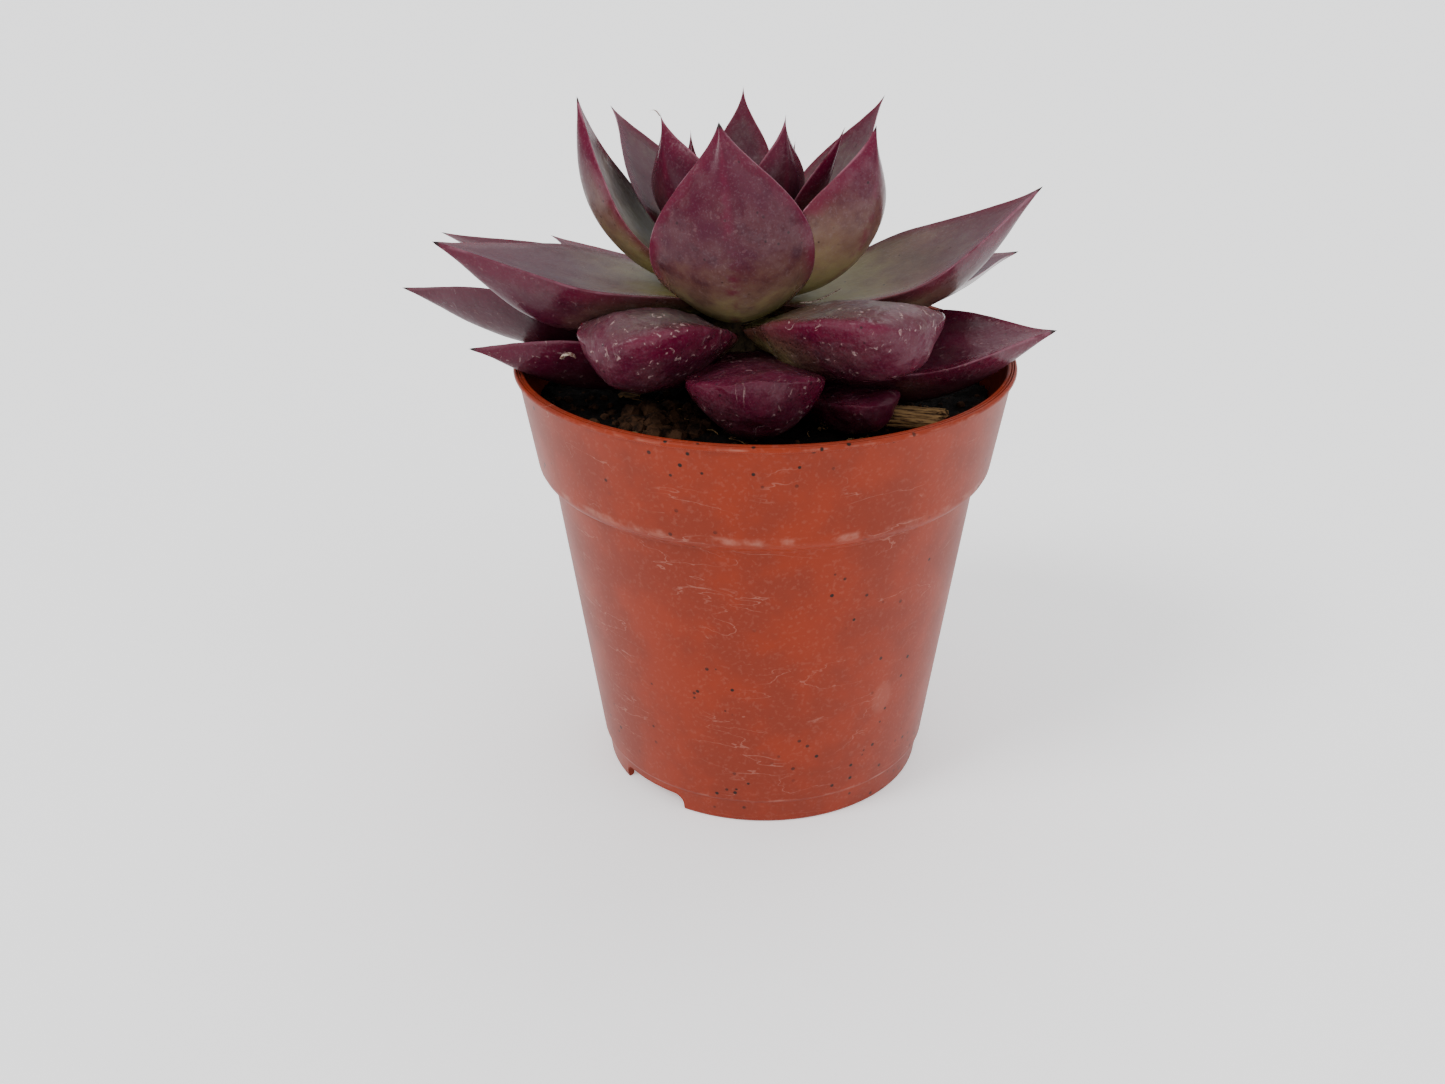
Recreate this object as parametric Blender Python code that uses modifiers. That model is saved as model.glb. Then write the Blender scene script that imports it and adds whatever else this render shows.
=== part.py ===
"""A potted echeveria: a thin plastic nursery pot, its soil, and a rosette of thick pointed leaves.

Metres, +Z up, and -Y is the side that faces a viewer. The origin is the centre of the whole object's
box, at the height of the pot's foot. The pot's own axis stands beside it, because the leaves reach
farther to the left. The leaves sit on a short stem.
"""

import math
from collections import namedtuple

import bmesh
import bpy
from mathutils import Matrix, Vector, noise

MM = 0.001
SMOOTH_BELOW = math.radians(35.0)

# Where the pot's axis stands, in millimetres from the origin
POT_X = 10.45
POT_Y = -0.75

# The pot, in millimetres
POT_HEIGHT = 94.0
RIM_RADIUS = 52.5
RIM_WIDTH = 2.2
RIM_THICKNESS = 1.2
RIM_ROUNDING = 0.5
WALL = 1.0
COLLAR_TOP_RADIUS = 51.7
COLLAR_BOTTOM_RADIUS = 48.5
COLLAR_BOTTOM = 73.0
SHOULDER_DROP = 3.0
SHOULDER_STEPS = 4
BODY_TOP_RADIUS = 45.5
BODY_BOTTOM_RADIUS = 36.8
FOOT_HEIGHT = 6.0
FOOT_STEP = 0.4
FOOT_BOTTOM_RADIUS = 35.6
FOOT_WALL = 1.6
FOOT_ROUNDING = 0.5
FLOOR_UNDERSIDE = 4.2
FLOOR_THICKNESS = 1.2
FLOOR_CORNER = 1.8
POT_SIDES = 64
DRAIN_RADIUS = 2.6
DRAIN_RING_RADIUS = 22.0
DRAIN_COUNT = 6
DRILL_DEPTH = 8.0
DRILL_SIDES = 16
NOTCH_WIDTH = 18.0
NOTCH_HEIGHT = 3.8
NOTCH_DEPTH = 10.0
NOTCH_ROUNDING = 2.2
NOTCH_AZIMUTHS = (-43.0, 137.0)

# The soil, which fills the pot with a thin gap at the wall
SOIL_LEVEL = 84.5
SOIL_GAP = 0.45
SOIL_RINGS = 8
SOIL_MOUND = 2.0
SOIL_MOUND_SPREAD = 16.0
SOIL_GRAIN = 1.1
CRUMB_SIZE = 3.2
FINE_CRUMB_SIZE = 1.7

# A piece of dry bark that lies on the soil, at the front right
BARK_CENTRE = (30.3, -16.4, 86.0)
BARK_TURN = 76.0
BARK_LENGTH = 13.0
BARK_RADIUS = 2.3
BARK_SIDES = 12
BARK_TAPER = 0.8
BARK_GRAIN = 2.5
BARK_ROUGHNESS = 0.25
BARK_FLATNESS = 0.85

# The stem, which stands a little to the left of the pot's axis
CROWN_X = -5.5
STEM_RADIUS = 8.0
STEM_TOP_RADIUS = 3.2
STEM_BOTTOM = 66.0
STEM_SIDES = 24
STEM_HOLE_GAP = 0.4
STEM_HOLE_DEPTH = 40.0
STEM_HOLE_SIDES = 32
FIRST_LEAF_HEIGHT = 91.0
LOW_LEAVES = 9
LOW_PITCH = 1.1
HIGH_PITCH = 0.78

# How a leaf is drawn: stations along it, and places across it as shares of its half width
STATIONS = (0.0, 0.07, 0.17, 0.29, 0.42, 0.55, 0.67, 0.78, 0.87, 0.94, 0.98)
ACROSS = (0.8, 0.42, 0.0, -0.42, -0.8)
LEAF_STEM_GAP = 0.35
BASE_WIDTH_SHARE = 0.95
STUB_BASE_WIDTH_SHARE = 1.2
BASE_THICKNESS = 2.0
UPRIGHT_UNTIL = 0.12
ROLLED_FROM = 0.7
CUPPED_FROM = 0.3
CUP = 0.13
STUB_CROWN = 0.16
STUB_CROWNED_FROM = 0.5
BEND_AT = 0.42
WIDEST_AT = 0.5
STUB_WIDEST_AT = 0.7
WIDENING_POWER = 0.65
POINT_POWER = 0.6
FULL_DEPTH_AT = 0.5
THINNING_POWER = 0.75
KEEL_POWER = 2.0
STUB_KEEL_POWER = 2.6
BLUNT = 0.5
BLUNT_SINK = 0.45


def polar(radius, azimuth, height):
    """A point in metres: azimuth 0 faces the viewer and 90 is to the viewer's right."""
    turn = math.radians(azimuth)
    return Vector((radius * math.sin(turn), -radius * math.cos(turn), height)) * MM


def clear_scene():
    for old in list(bpy.data.objects):
        bpy.data.objects.remove(old)


def new_collection(name, hidden=False):
    made = bpy.data.collections.new(name)
    bpy.context.scene.collection.children.link(made)
    made.hide_render = hidden
    return made


def new_material(name, colour, roughness):
    made = bpy.data.materials.new(name)
    made.use_nodes = True
    shader = made.node_tree.nodes["Principled BSDF"]
    shader.inputs["Base Color"].default_value = (*colour, 1.0)
    shader.inputs["Roughness"].default_value = roughness
    shader.inputs["Metallic"].default_value = 0.0
    return made


def new_object(name, mesh, collection, parent, material=None):
    made = bpy.data.objects.new(name, mesh)
    collection.objects.link(made)
    made.parent = parent
    if material:
        mesh.materials.append(material)
    return made


def new_cutter(shape, name, collection, parent):
    """A hidden object from a bmesh, for a Boolean to cut away."""
    mesh = bpy.data.meshes.new(name)
    shape.to_mesh(mesh)
    shape.free()
    made = new_object(name, mesh, collection, parent)
    made.hide_render = True
    made.display_type = "WIRE"
    return made


def new_drill(name, radius, depth, sides, collection, parent):
    """A round cutter that stands upright."""
    shape = bmesh.new()
    bmesh.ops.create_cone(
        shape,
        cap_ends=True,
        segments=sides,
        radius1=radius * MM,
        radius2=radius * MM,
        depth=depth * MM,
    )
    return new_cutter(shape, name, collection, parent)


def turned_mesh(name, profile, steps):
    """A solid turned from (radius, height) points in millimetres that run down its outer side."""
    line = bpy.data.meshes.new(name + "_profile")
    points = [(radius * MM, 0.0, height * MM) for radius, height in profile]
    line.from_pydata(points, [(i, i + 1) for i in range(len(points) - 1)], [])
    draft = bpy.data.objects.new(name + "_draft", line)
    bpy.context.scene.collection.objects.link(draft)
    screw = draft.modifiers.new("Turn", "SCREW")
    screw.steps = steps
    screw.render_steps = steps
    screw.use_merge_vertices = True
    screw.merge_threshold = 0.00005
    graph = bpy.context.evaluated_depsgraph_get()
    mesh = bpy.data.meshes.new_from_object(draft.evaluated_get(graph))
    bpy.data.objects.remove(draft)
    mesh.name = name
    mesh.shade_smooth()
    mesh.set_sharp_from_angle(angle=SMOOTH_BELOW)
    return mesh


def cut(target, cutters):
    boolean = target.modifiers.new("Cut", "BOOLEAN")
    boolean.operation = "DIFFERENCE"
    boolean.operand_type = "COLLECTION"
    boolean.collection = cutters
    boolean.solver = "EXACT"


def body_radius(height):
    """The outer radius of the pot's body below the collar."""
    share = (height - FOOT_HEIGHT) / (COLLAR_BOTTOM - SHOULDER_DROP - FOOT_HEIGHT)
    return BODY_BOTTOM_RADIUS + (BODY_TOP_RADIUS - BODY_BOTTOM_RADIUS) * share


def collar_radius(height):
    """The outer radius of the collar."""
    share = (height - COLLAR_BOTTOM) / (POT_HEIGHT - RIM_THICKNESS - COLLAR_BOTTOM)
    return COLLAR_BOTTOM_RADIUS + (COLLAR_TOP_RADIUS - COLLAR_BOTTOM_RADIUS) * share


def shoulder(offset):
    """Points down the rounded shoulder from the collar to the body, moved in by offset."""
    width = COLLAR_BOTTOM_RADIUS - BODY_TOP_RADIUS
    points = []
    for step in range(SHOULDER_STEPS + 1):
        turn = math.radians(90.0 * step / SHOULDER_STEPS)
        radius = BODY_TOP_RADIUS + width * math.cos(turn)
        height = COLLAR_BOTTOM - SHOULDER_DROP * math.sin(turn)
        points.append((radius - offset, height + 0.3 * offset))
    return points


def inner_wall(clearance):
    """Points down the inside of the pot, from the soil's level to the floor, moved in by clearance."""
    offset = WALL + clearance
    floor_top = FLOOR_UNDERSIDE + FLOOR_THICKNESS
    foot_radius = body_radius(FOOT_HEIGHT) - offset
    points = [(collar_radius(SOIL_LEVEL) - offset, SOIL_LEVEL)]
    points += shoulder(offset)
    points.append((foot_radius, floor_top + FLOOR_CORNER))
    points.append((foot_radius - FLOOR_CORNER, floor_top + clearance))
    return points


def rim_profile():
    """Points over the pot's lip, from its inner edge to the top of the collar."""
    inner = RIM_RADIUS - RIM_WIDTH
    under = POT_HEIGHT - RIM_THICKNESS
    return [
        (inner, POT_HEIGHT - RIM_THICKNESS - 0.2),
        (inner + 0.2, POT_HEIGHT - 0.3),
        (inner + RIM_ROUNDING, POT_HEIGHT),
        (RIM_RADIUS - RIM_ROUNDING, POT_HEIGHT),
        (RIM_RADIUS, POT_HEIGHT - RIM_ROUNDING),
        (RIM_RADIUS, under + 0.2),
        (RIM_RADIUS - 0.3, under),
        (COLLAR_TOP_RADIUS, under - 0.1),
    ]


def pot_profile():
    """Points up the pot's inside from its floor, over the lip, down its outside and under the floor."""
    inside = [(0.0, FLOOR_UNDERSIDE + FLOOR_THICKNESS)] + inner_wall(0.0)[::-1]
    outside = shoulder(0.0) + [
        (BODY_BOTTOM_RADIUS, FOOT_HEIGHT),
        (BODY_BOTTOM_RADIUS - FOOT_STEP, FOOT_HEIGHT - 0.3),
        (FOOT_BOTTOM_RADIUS, FOOT_ROUNDING),
        (FOOT_BOTTOM_RADIUS - FOOT_ROUNDING, 0.0),
        (FOOT_BOTTOM_RADIUS - FOOT_WALL, 0.0),
        (FOOT_BOTTOM_RADIUS - FOOT_WALL - 0.5, FLOOR_UNDERSIDE),
        (0.0, FLOOR_UNDERSIDE),
    ]
    return inside + rim_profile() + outside


def new_notch(name, azimuth, collection, parent):
    """A cutter for a low rounded opening in the pot's foot."""
    shape = bmesh.new()
    bmesh.ops.create_cube(shape, size=1.0)
    size = Vector((NOTCH_WIDTH, NOTCH_DEPTH, 2.0 * NOTCH_HEIGHT)) * MM
    bmesh.ops.scale(shape, vec=size, verts=shape.verts)
    inward = [e for e in shape.edges if abs(e.verts[0].co.y - e.verts[1].co.y) > 0.5 * size.y]
    bmesh.ops.bevel(shape, geom=inward, offset=NOTCH_ROUNDING * MM, segments=3, profile=0.5, affect="EDGES")
    notch = new_cutter(shape, name, collection, parent)
    notch.location = polar(FOOT_BOTTOM_RADIUS - 1.0, azimuth, 0.0)
    notch.rotation_euler = (0.0, 0.0, math.radians(azimuth))


def build_pot(collection, cutters, axis, material):
    pot = new_object("pot", turned_mesh("pot", pot_profile(), POT_SIDES), collection, axis, material)
    drains = [(0.0, 0.0)]
    drains += [(DRAIN_RING_RADIUS, 360.0 * i / DRAIN_COUNT) for i in range(DRAIN_COUNT)]
    for index, (radius, azimuth) in enumerate(drains):
        drill = new_drill(f"drain_cutter_{index}", DRAIN_RADIUS, DRILL_DEPTH, DRILL_SIDES, cutters, axis)
        drill.location = polar(radius, azimuth, FLOOR_UNDERSIDE)
    for index, azimuth in enumerate(NOTCH_AZIMUTHS):
        new_notch(f"notch_cutter_{index}", azimuth, cutters, axis)
    cut(pot, cutters)


def soil_height(x, y):
    """The soil's surface in millimetres: a low mound at the stem, with crumbs."""
    from_stem = math.hypot(x - CROWN_X, y)
    mound = SOIL_MOUND * math.exp(-((from_stem / SOIL_MOUND_SPREAD) ** 2))
    crumbs = noise.noise(Vector((x / CRUMB_SIZE, y / CRUMB_SIZE, 1.0)))
    fine = noise.noise(Vector((x / FINE_CRUMB_SIZE, y / FINE_CRUMB_SIZE, 5.0)))
    return SOIL_LEVEL - 1.0 + mound + SOIL_GRAIN * (crumbs + 0.5 * fine)


def build_soil(collection, cutters, axis, material):
    wall = inner_wall(SOIL_GAP)
    edge = wall[0][0]
    top = [(edge * i / SOIL_RINGS, SOIL_LEVEL) for i in range(SOIL_RINGS)]
    mesh = turned_mesh("soil", top + wall + [(0.0, wall[-1][1])], POT_SIDES)
    for vertex in mesh.vertices:
        x, y, z = vertex.co / MM
        if z > SOIL_LEVEL - 0.01 and math.hypot(x, y) < edge - 1.0:
            vertex.co.z = soil_height(x, y) * MM
    soil = new_object("soil", mesh, collection, axis, material)
    radius = STEM_RADIUS + STEM_HOLE_GAP
    drill = new_drill("stem_hole_cutter", radius, STEM_HOLE_DEPTH, STEM_HOLE_SIDES, cutters, axis)
    bottom = STEM_BOTTOM - STEM_HOLE_GAP
    drill.location = Vector((CROWN_X, 0.0, bottom + STEM_HOLE_DEPTH / 2)) * MM
    cut(soil, cutters)


def build_bark(collection, axis, material):
    """A short, rough and slightly flat piece of bark that lies on its side."""
    shape = bmesh.new()
    bmesh.ops.create_cone(
        shape,
        cap_ends=True,
        segments=BARK_SIDES,
        radius1=BARK_RADIUS * MM,
        radius2=BARK_TAPER * BARK_RADIUS * MM,
        depth=BARK_LENGTH * MM,
    )
    lengthwise = [e for e in shape.edges if abs(e.verts[0].co.z - e.verts[1].co.z) > 1.0 * MM]
    bmesh.ops.subdivide_edges(shape, edges=lengthwise, cuts=3, use_grid_fill=False)
    for vertex in shape.verts:
        swell = 1.0 + BARK_ROUGHNESS * noise.noise(vertex.co / MM / BARK_GRAIN)
        vertex.co.x *= swell
        vertex.co.y *= swell * BARK_FLATNESS
    bmesh.ops.recalc_face_normals(shape, faces=shape.faces)
    mesh = bpy.data.meshes.new("bark_chip")
    shape.to_mesh(mesh)
    shape.free()
    bark = new_object("bark_chip", mesh, collection, axis, material)
    bark.location = Vector(BARK_CENTRE) * MM
    bark.rotation_euler = (math.radians(90.0), 0.0, math.radians(BARK_TURN))


def foot_height(index):
    """The height in millimetres at which a leaf leaves the stem."""
    return FIRST_LEAF_HEIGHT + LOW_PITCH * min(index, LOW_LEAVES) + HIGH_PITCH * max(index - LOW_LEAVES, 0)


def stem_radius(height):
    """The stem's radius, which is even in the soil and tapers among the leaves."""
    top = foot_height(len(LEAVES))
    share = min(1.0, max(0.0, (height - FIRST_LEAF_HEIGHT) / (top - FIRST_LEAF_HEIGHT)))
    return STEM_RADIUS + (STEM_TOP_RADIUS - STEM_RADIUS) * share


def build_stem(crown, collection, material):
    top = foot_height(len(LEAVES))
    profile = [
        (0.0, top + 1.0),
        (STEM_TOP_RADIUS * 0.7, top + 0.6),
        (STEM_TOP_RADIUS, top),
        (STEM_RADIUS, FIRST_LEAF_HEIGHT),
        (STEM_RADIUS, STEM_BOTTOM + 1.0),
        (STEM_RADIUS - 1.0, STEM_BOTTOM),
        (0.0, STEM_BOTTOM),
    ]
    new_object("stem", turned_mesh("stem", profile, STEM_SIDES), collection, crown, material)


def half_width(share, start, end):
    """A leaf's half width at a share of its length, as a share of the widest."""
    widest_at = STUB_WIDEST_AT if end < BLUNT else WIDEST_AT
    if share < widest_at:
        rise = math.sin(math.pi / 2 * share / widest_at)
        return start + (1.0 - start) * rise**WIDENING_POWER
    past = (share - widest_at) / (1.0 - widest_at)
    sharpness = end if end < BLUNT else end + POINT_POWER * past
    return math.cos(math.pi / 2 * past) ** sharpness


def leaf_depth(share, width_share, thickness):
    """How deep a leaf's underside bulges, in millimetres."""
    early = min(1.0, share / FULL_DEPTH_AT)
    depth = BASE_THICKNESS + (thickness - BASE_THICKNESS) * math.sin(math.pi / 2 * early)
    if share > WIDEST_AT:
        depth *= width_share**THINNING_POWER
    return depth


def leaf_spine(index, leaf):
    """The foot, the bend and the tip of a leaf's curve, in millimetres from the stem's axis."""
    start_height = foot_height(index)
    foot = Vector((stem_radius(start_height) + LEAF_STEM_GAP, 0.0, start_height))
    chord = Vector((leaf.reach, 0.0, leaf.height)) - foot
    down = Vector((chord.z, 0.0, -chord.x)).normalized()
    bend = foot + chord * BEND_AT + down * (2.0 * leaf.sag)
    tip = Vector((leaf.reach, leaf.sweep, leaf.height))
    return foot, bend, tip


def leaf_axes(along, share, roll):
    """The directions across a leaf and out of its upper face."""
    side = Vector((0.0, 1.0, 0.0))
    side = (side - along * side.dot(along)).normalized()
    upright = max(0.0, 1.0 - share / UPRIGHT_UNTIL)
    up = along.cross(side).lerp(Vector((0.0, 0.0, 1.0)), upright).normalized()
    turn = Matrix.Rotation(math.radians(roll) * min(1.0, share / ROLLED_FROM), 3, along)
    return turn @ side, turn @ up


def leaf_section(share, leaf, base_radius):
    """Points round a leaf's section as (across, up): its cupped or crowned upper face, then its keel."""
    stub = leaf.end < BLUNT
    keel_power = STUB_KEEL_POWER if stub else KEEL_POWER
    base_share = STUB_BASE_WIDTH_SHARE if stub else BASE_WIDTH_SHARE
    outline = half_width(share, base_share * base_radius / leaf.width, leaf.end)
    half = outline * leaf.width / 2
    deep = leaf_depth(share, outline, leaf.thickness)
    if stub:
        rise = STUB_CROWN * half * min(1.0, share / STUB_CROWNED_FROM)
    else:
        rise = -CUP * half * min(1.0, share / CUPPED_FROM)
    sink = BLUNT_SINK * leaf.thickness * (1.0 - outline) if stub and share > WIDEST_AT else 0.0
    upper = [(1.0, 0.0)] + [(a, rise * (1 - a * a)) for a in ACROSS]
    lower = [(-1.0, 0.0)] + [(-a, -deep * (1 - abs(a) ** keel_power)) for a in ACROSS]
    return [(across * half, lift - sink) for across, lift in upper + lower]


def leaf_rings(shape, index, leaf):
    """The vertices of each section of a leaf, and its tip."""
    foot, bend, tip = leaf_spine(index, leaf)
    base_radius = stem_radius(foot.z)
    rings = []
    for share in STATIONS:
        spine = foot * (1 - share) ** 2 + bend * (2 * share * (1 - share)) + tip * share**2
        along = ((bend - foot) * (1 - share) + (tip - bend) * share).normalized()
        side, up = leaf_axes(along, share, leaf.roll)
        ring = []
        for across, lift in leaf_section(share, leaf, base_radius):
            point = spine + side * across + up * lift
            if share == 0.0:
                clear = stem_radius(point.z) + LEAF_STEM_GAP
                point.x = math.sqrt(clear**2 - point.y**2)
            ring.append(shape.verts.new(point * MM))
        rings.append(ring)
    if leaf.end < BLUNT:
        tip -= up * (BLUNT_SINK * leaf.thickness)
    return rings, shape.verts.new(tip * MM)


def leaf_mesh(name, index, leaf):
    """A leaf in its own upright plane: it leaves the stem at +X and bends sideways by its sweep."""
    shape = bmesh.new()
    rings, tip = leaf_rings(shape, index, leaf)
    for near, far in zip(rings, rings[1:]):
        for i in range(len(near)):
            j = (i + 1) % len(near)
            shape.faces.new((near[i], near[j], far[j], far[i]))
    last = rings[-1]
    for i in range(len(last)):
        shape.faces.new((last[i], last[(i + 1) % len(last)], tip))
    base = rings[0]
    for i in range(len(ACROSS) + 1):
        quad = (base[i], base[-i], base[-i - 1], base[i + 1])
        shape.faces.new(dict.fromkeys(quad))
    bmesh.ops.recalc_face_normals(shape, faces=shape.faces)
    mesh = bpy.data.meshes.new(name)
    shape.to_mesh(mesh)
    shape.free()
    mesh.shade_smooth()
    mesh.set_sharp_from_angle(angle=SMOOTH_BELOW)
    return mesh


Leaf = namedtuple("Leaf", "azimuth reach height sag width thickness end roll sweep")

# Each leaf from the lowest to the heart: azimuth in degrees about the stem; then in millimetres the
# reach of the tip from the stem's axis, its height, the sag below the chord, width and thickness; how
# drawn out the end is, where less than BLUNT is a rounded stub; the roll in degrees; and the sideways
# sweep of the tip in millimetres.
LEAVES = tuple(
    Leaf(*row)
    for row in (
        (53.4, 38.0, 92.0, 0.0, 11.4, 6.4, 0.15, 0, -2.4),
        (-85, 54.6, 100.6, -1.1, 20.4, 9.3, 0.8, 20, 12.2),
        (180, 54.0, 98.6, 0.1, 20.0, 4.8, 0.8, 0, 0.0),
        (132.7, 57.0, 101.6, -0.7, 19.0, 4.4, 0.8, 0, 0.0),
        (77.2, 65.05, 103.8, 0.34, 25.0, 8.0, 0.8, 13.5, 0.0),
        (9.5, 37.5, 99.5, 1.1, 23.8, 11.0, 0.3, 0, -1.4),
        (-101, 74.7, 104.1, -3.05, 25.4, 8.5, 0.8, 22, 0.0),
        (-159, 56.0, 101.0, 0.5, 17.0, 3.9, 0.8, 0, 0.0),
        (-40.2, 38.5, 107.0, -2.2, 25.2, 11.0, 0.3, 8, -1.8),
        (-134, 61.8, 108.4, -0.6, 18.0, 3.5, 0.8, 5, 0.0),
        (47.3, 46.0, 110.5, -1.3, 26.7, 11.0, 0.15, -8, 0.6),
        (165, 55.8, 104, 0.4, 17.5, 3.6, 0.8, 0, 0.0),
        (110.2, 64.8, 109.9, -0.6, 24.8, 6.4, 0.8, -11, 0.0),
        (-107, 68.0, 114.9, 0.1, 17.0, 3.5, 0.8, -8, 0.0),
        (178, 54.0, 112.0, -1.0, 20.0, 4.2, 0.8, 0, 0.0),
        (0, 22.3, 145.7, 7.8, 31.5, 7.5, 0.7, 0, -3.0),
        (88, 60.5, 129.5, 0.15, 27.0, 8.2, 0.9, -12, 0.0),
        (-75, 61.1, 122.0, -3.6, 28.0, 11.5, 0.8, 15, 0.0),
        (146, 41.0, 119.5, 0.0, 16.0, 3.5, 0.8, 0, 0.0),
        (-157, 44.0, 122.0, -0.3, 16.0, 3.5, 0.8, 0, 0.0),
        (58, 30.8, 144.0, 4.8, 27.0, 7.0, 0.9, -12, 0.0),
        (-83, 31.2, 147.3, 4.5, 26.0, 6.0, 0.9, 8, 0.0),
        (-176, 32.0, 134.0, 1.0, 14.0, 3.6, 0.9, 0, 0.0),
        (114, 32.6, 144.7, 1.0, 22.5, 4.0, 1.0, 0, 0.0),
        (-122, 31.4, 142.2, -0.5, 20.0, 3.8, 1.0, 12, 0.0),
        (69, 22.3, 142.3, 1.0, 11.6, 2.6, 1.1, -10, 0.0),
        (157, 18.5, 134.0, 1.5, 12.0, 2.6, 1.0, 0, 0.0),
        (-42, 16.2, 145.0, 2.0, 18.0, 4.0, 1.2, 0, -5.2),
        (42, 14.0, 145.0, 1.5, 15.0, 3.0, 1.4, 0, 0.0),
        (177, 17.5, 146.2, 0.9, 13.0, 2.6, 1.4, 0, 0.0),
        (-100, 9.5, 140.0, 1.2, 12.0, 3.0, 1.4, 0, 0.0),
        (95, 11.5, 138.0, 1.0, 11.0, 3.0, 1.4, 0, 0.0),
    )
)


def build_leaf(index, leaf, crown, collection, material):
    name = f"leaf_{index + 1:02d}"
    made = new_object(name, leaf_mesh(name, index, leaf), collection, crown, material)
    made.rotation_euler = (0.0, 0.0, math.radians(leaf.azimuth - 90.0))


def new_empty(name, x, y, collection, parent):
    made = bpy.data.objects.new(name, None)
    collection.objects.link(made)
    made.parent = parent
    made.location = Vector((x, y, 0.0)) * MM
    return made


def main():
    clear_scene()
    plant = new_collection("potted_echeveria")
    pot_cutters = new_collection("pot_cutters", hidden=True)
    soil_cutters = new_collection("soil_cutters", hidden=True)
    plastic = new_material("terracotta_polypropylene", (0.42, 0.085, 0.032), 0.45)
    peat = new_material("peat_soil", (0.018, 0.013, 0.010), 0.95)
    bark = new_material("dry_bark", (0.20, 0.11, 0.055), 0.85)
    leaf_skin = new_material("waxy_leaf", (0.16, 0.035, 0.055), 0.45)
    stem_skin = new_material("corky_stem", (0.12, 0.075, 0.045), 0.8)
    axis = new_empty("pot_axis", POT_X, POT_Y, plant, None)
    crown = new_empty("crown", CROWN_X, 0.0, plant, axis)
    build_pot(plant, pot_cutters, axis, plastic)
    build_soil(plant, soil_cutters, axis, peat)
    build_bark(plant, axis, bark)
    build_stem(crown, plant, stem_skin)
    for index, leaf in enumerate(LEAVES):
        build_leaf(index, leaf, crown, plant, leaf_skin)


main()
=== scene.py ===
# %% [markdown]
# # A potted echeveria
# This lesson dresses a plain CAD model of a small succulent: a purple echeveria in a thin plastic nursery
# pot. The CAD model has the right sizes and places. Here each solid gets a finer skin, and each surface its
# finish. Everything is in metres, with the pot standing on the floor at height zero.

import math
import random
from collections import namedtuple

import bpy
from mathutils import Matrix, Vector


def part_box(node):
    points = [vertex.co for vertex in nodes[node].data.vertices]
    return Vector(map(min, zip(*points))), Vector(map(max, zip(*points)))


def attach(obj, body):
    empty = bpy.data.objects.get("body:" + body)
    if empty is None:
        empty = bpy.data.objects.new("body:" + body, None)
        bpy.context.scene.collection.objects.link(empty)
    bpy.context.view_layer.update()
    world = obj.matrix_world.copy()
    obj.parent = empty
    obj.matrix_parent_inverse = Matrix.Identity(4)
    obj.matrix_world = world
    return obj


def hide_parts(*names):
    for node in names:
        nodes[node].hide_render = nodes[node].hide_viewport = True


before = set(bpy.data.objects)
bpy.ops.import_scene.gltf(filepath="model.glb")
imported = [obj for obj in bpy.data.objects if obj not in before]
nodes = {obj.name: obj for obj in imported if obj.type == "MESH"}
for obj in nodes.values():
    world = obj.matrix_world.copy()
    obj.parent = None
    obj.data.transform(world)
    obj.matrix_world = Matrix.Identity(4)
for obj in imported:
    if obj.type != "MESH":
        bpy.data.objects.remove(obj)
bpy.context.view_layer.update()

# %% [markdown]
# ## Small helpers
# An operator works on whatever is selected, so every step first picks one object. A piece starts from a
# primitive or from a copy, and is then shaped in edit mode.

# %% Pick, start and edit a piece
MM = 0.001
UP = Vector((0, 0, 1))


def pick(obj):
    """Select one object alone and make it active."""
    bpy.ops.object.select_all(action="DESELECT")
    obj.select_set(True)
    bpy.context.view_layer.objects.active = obj


def put_in_scene(name, data):
    """Make an object of this data and put it in the scene."""
    obj = bpy.data.objects.new(name, data)
    bpy.context.scene.collection.objects.link(obj)
    return obj


def start_piece(shape, name, **settings):
    """Start a piece from one of Blender's primitive shapes, with nothing else selected."""
    bpy.ops.object.select_all(action="DESELECT")
    getattr(bpy.ops.mesh, f"primitive_{shape}_add")(**settings)
    piece = bpy.context.active_object
    piece.name = name
    return piece


def edit_all(obj):
    """Open an object's mesh for editing, with everything selected."""
    pick(obj)
    bpy.ops.object.mode_set(mode="EDIT")
    bpy.ops.mesh.select_all(action="SELECT")


def edit_points(obj, chosen):
    """Open an object's mesh for editing, with these points selected and nothing else."""
    pick(obj)
    for vertex in obj.data.vertices:
        vertex.select = vertex.index in chosen
    for edge in obj.data.edges:
        edge.select = all(i in chosen for i in edge.vertices)
    for polygon in obj.data.polygons:
        polygon.select = all(i in chosen for i in polygon.vertices)
    bpy.ops.object.mode_set(mode="EDIT")


def close_edit():
    """Go back to object mode."""
    bpy.ops.object.mode_set(mode="OBJECT")


def close_outward():
    """Turn all faces outwards and go back to object mode."""
    bpy.ops.mesh.select_all(action="SELECT")
    bpy.ops.mesh.normals_make_consistent(inside=False)
    bpy.ops.mesh.select_mode(type="VERT")
    close_edit()


# %% [markdown]
# A modifier is a change that Blender can undo; applying it makes the change real, which is what a finished
# piece needs. Displacing a mesh by a cloud texture roughs it up at the clouds' size.

# %% Apply a modifier, rough up, smooth
def apply_modifier(obj, kind, **settings):
    """Give an object a modifier and make its result real."""
    pick(obj)
    modifier = obj.modifiers.new(kind.title(), kind)
    for name, value in settings.items():
        setattr(modifier, name, value)
    bpy.ops.object.modifier_apply(modifier=modifier.name)


def cloud_texture(name, size, depth):
    """Make a cloud pattern with clouds of that many millimetres."""
    texture = bpy.data.textures.new(name, "CLOUDS")
    texture.noise_scale = size * MM
    texture.noise_depth = depth
    return texture


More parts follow.
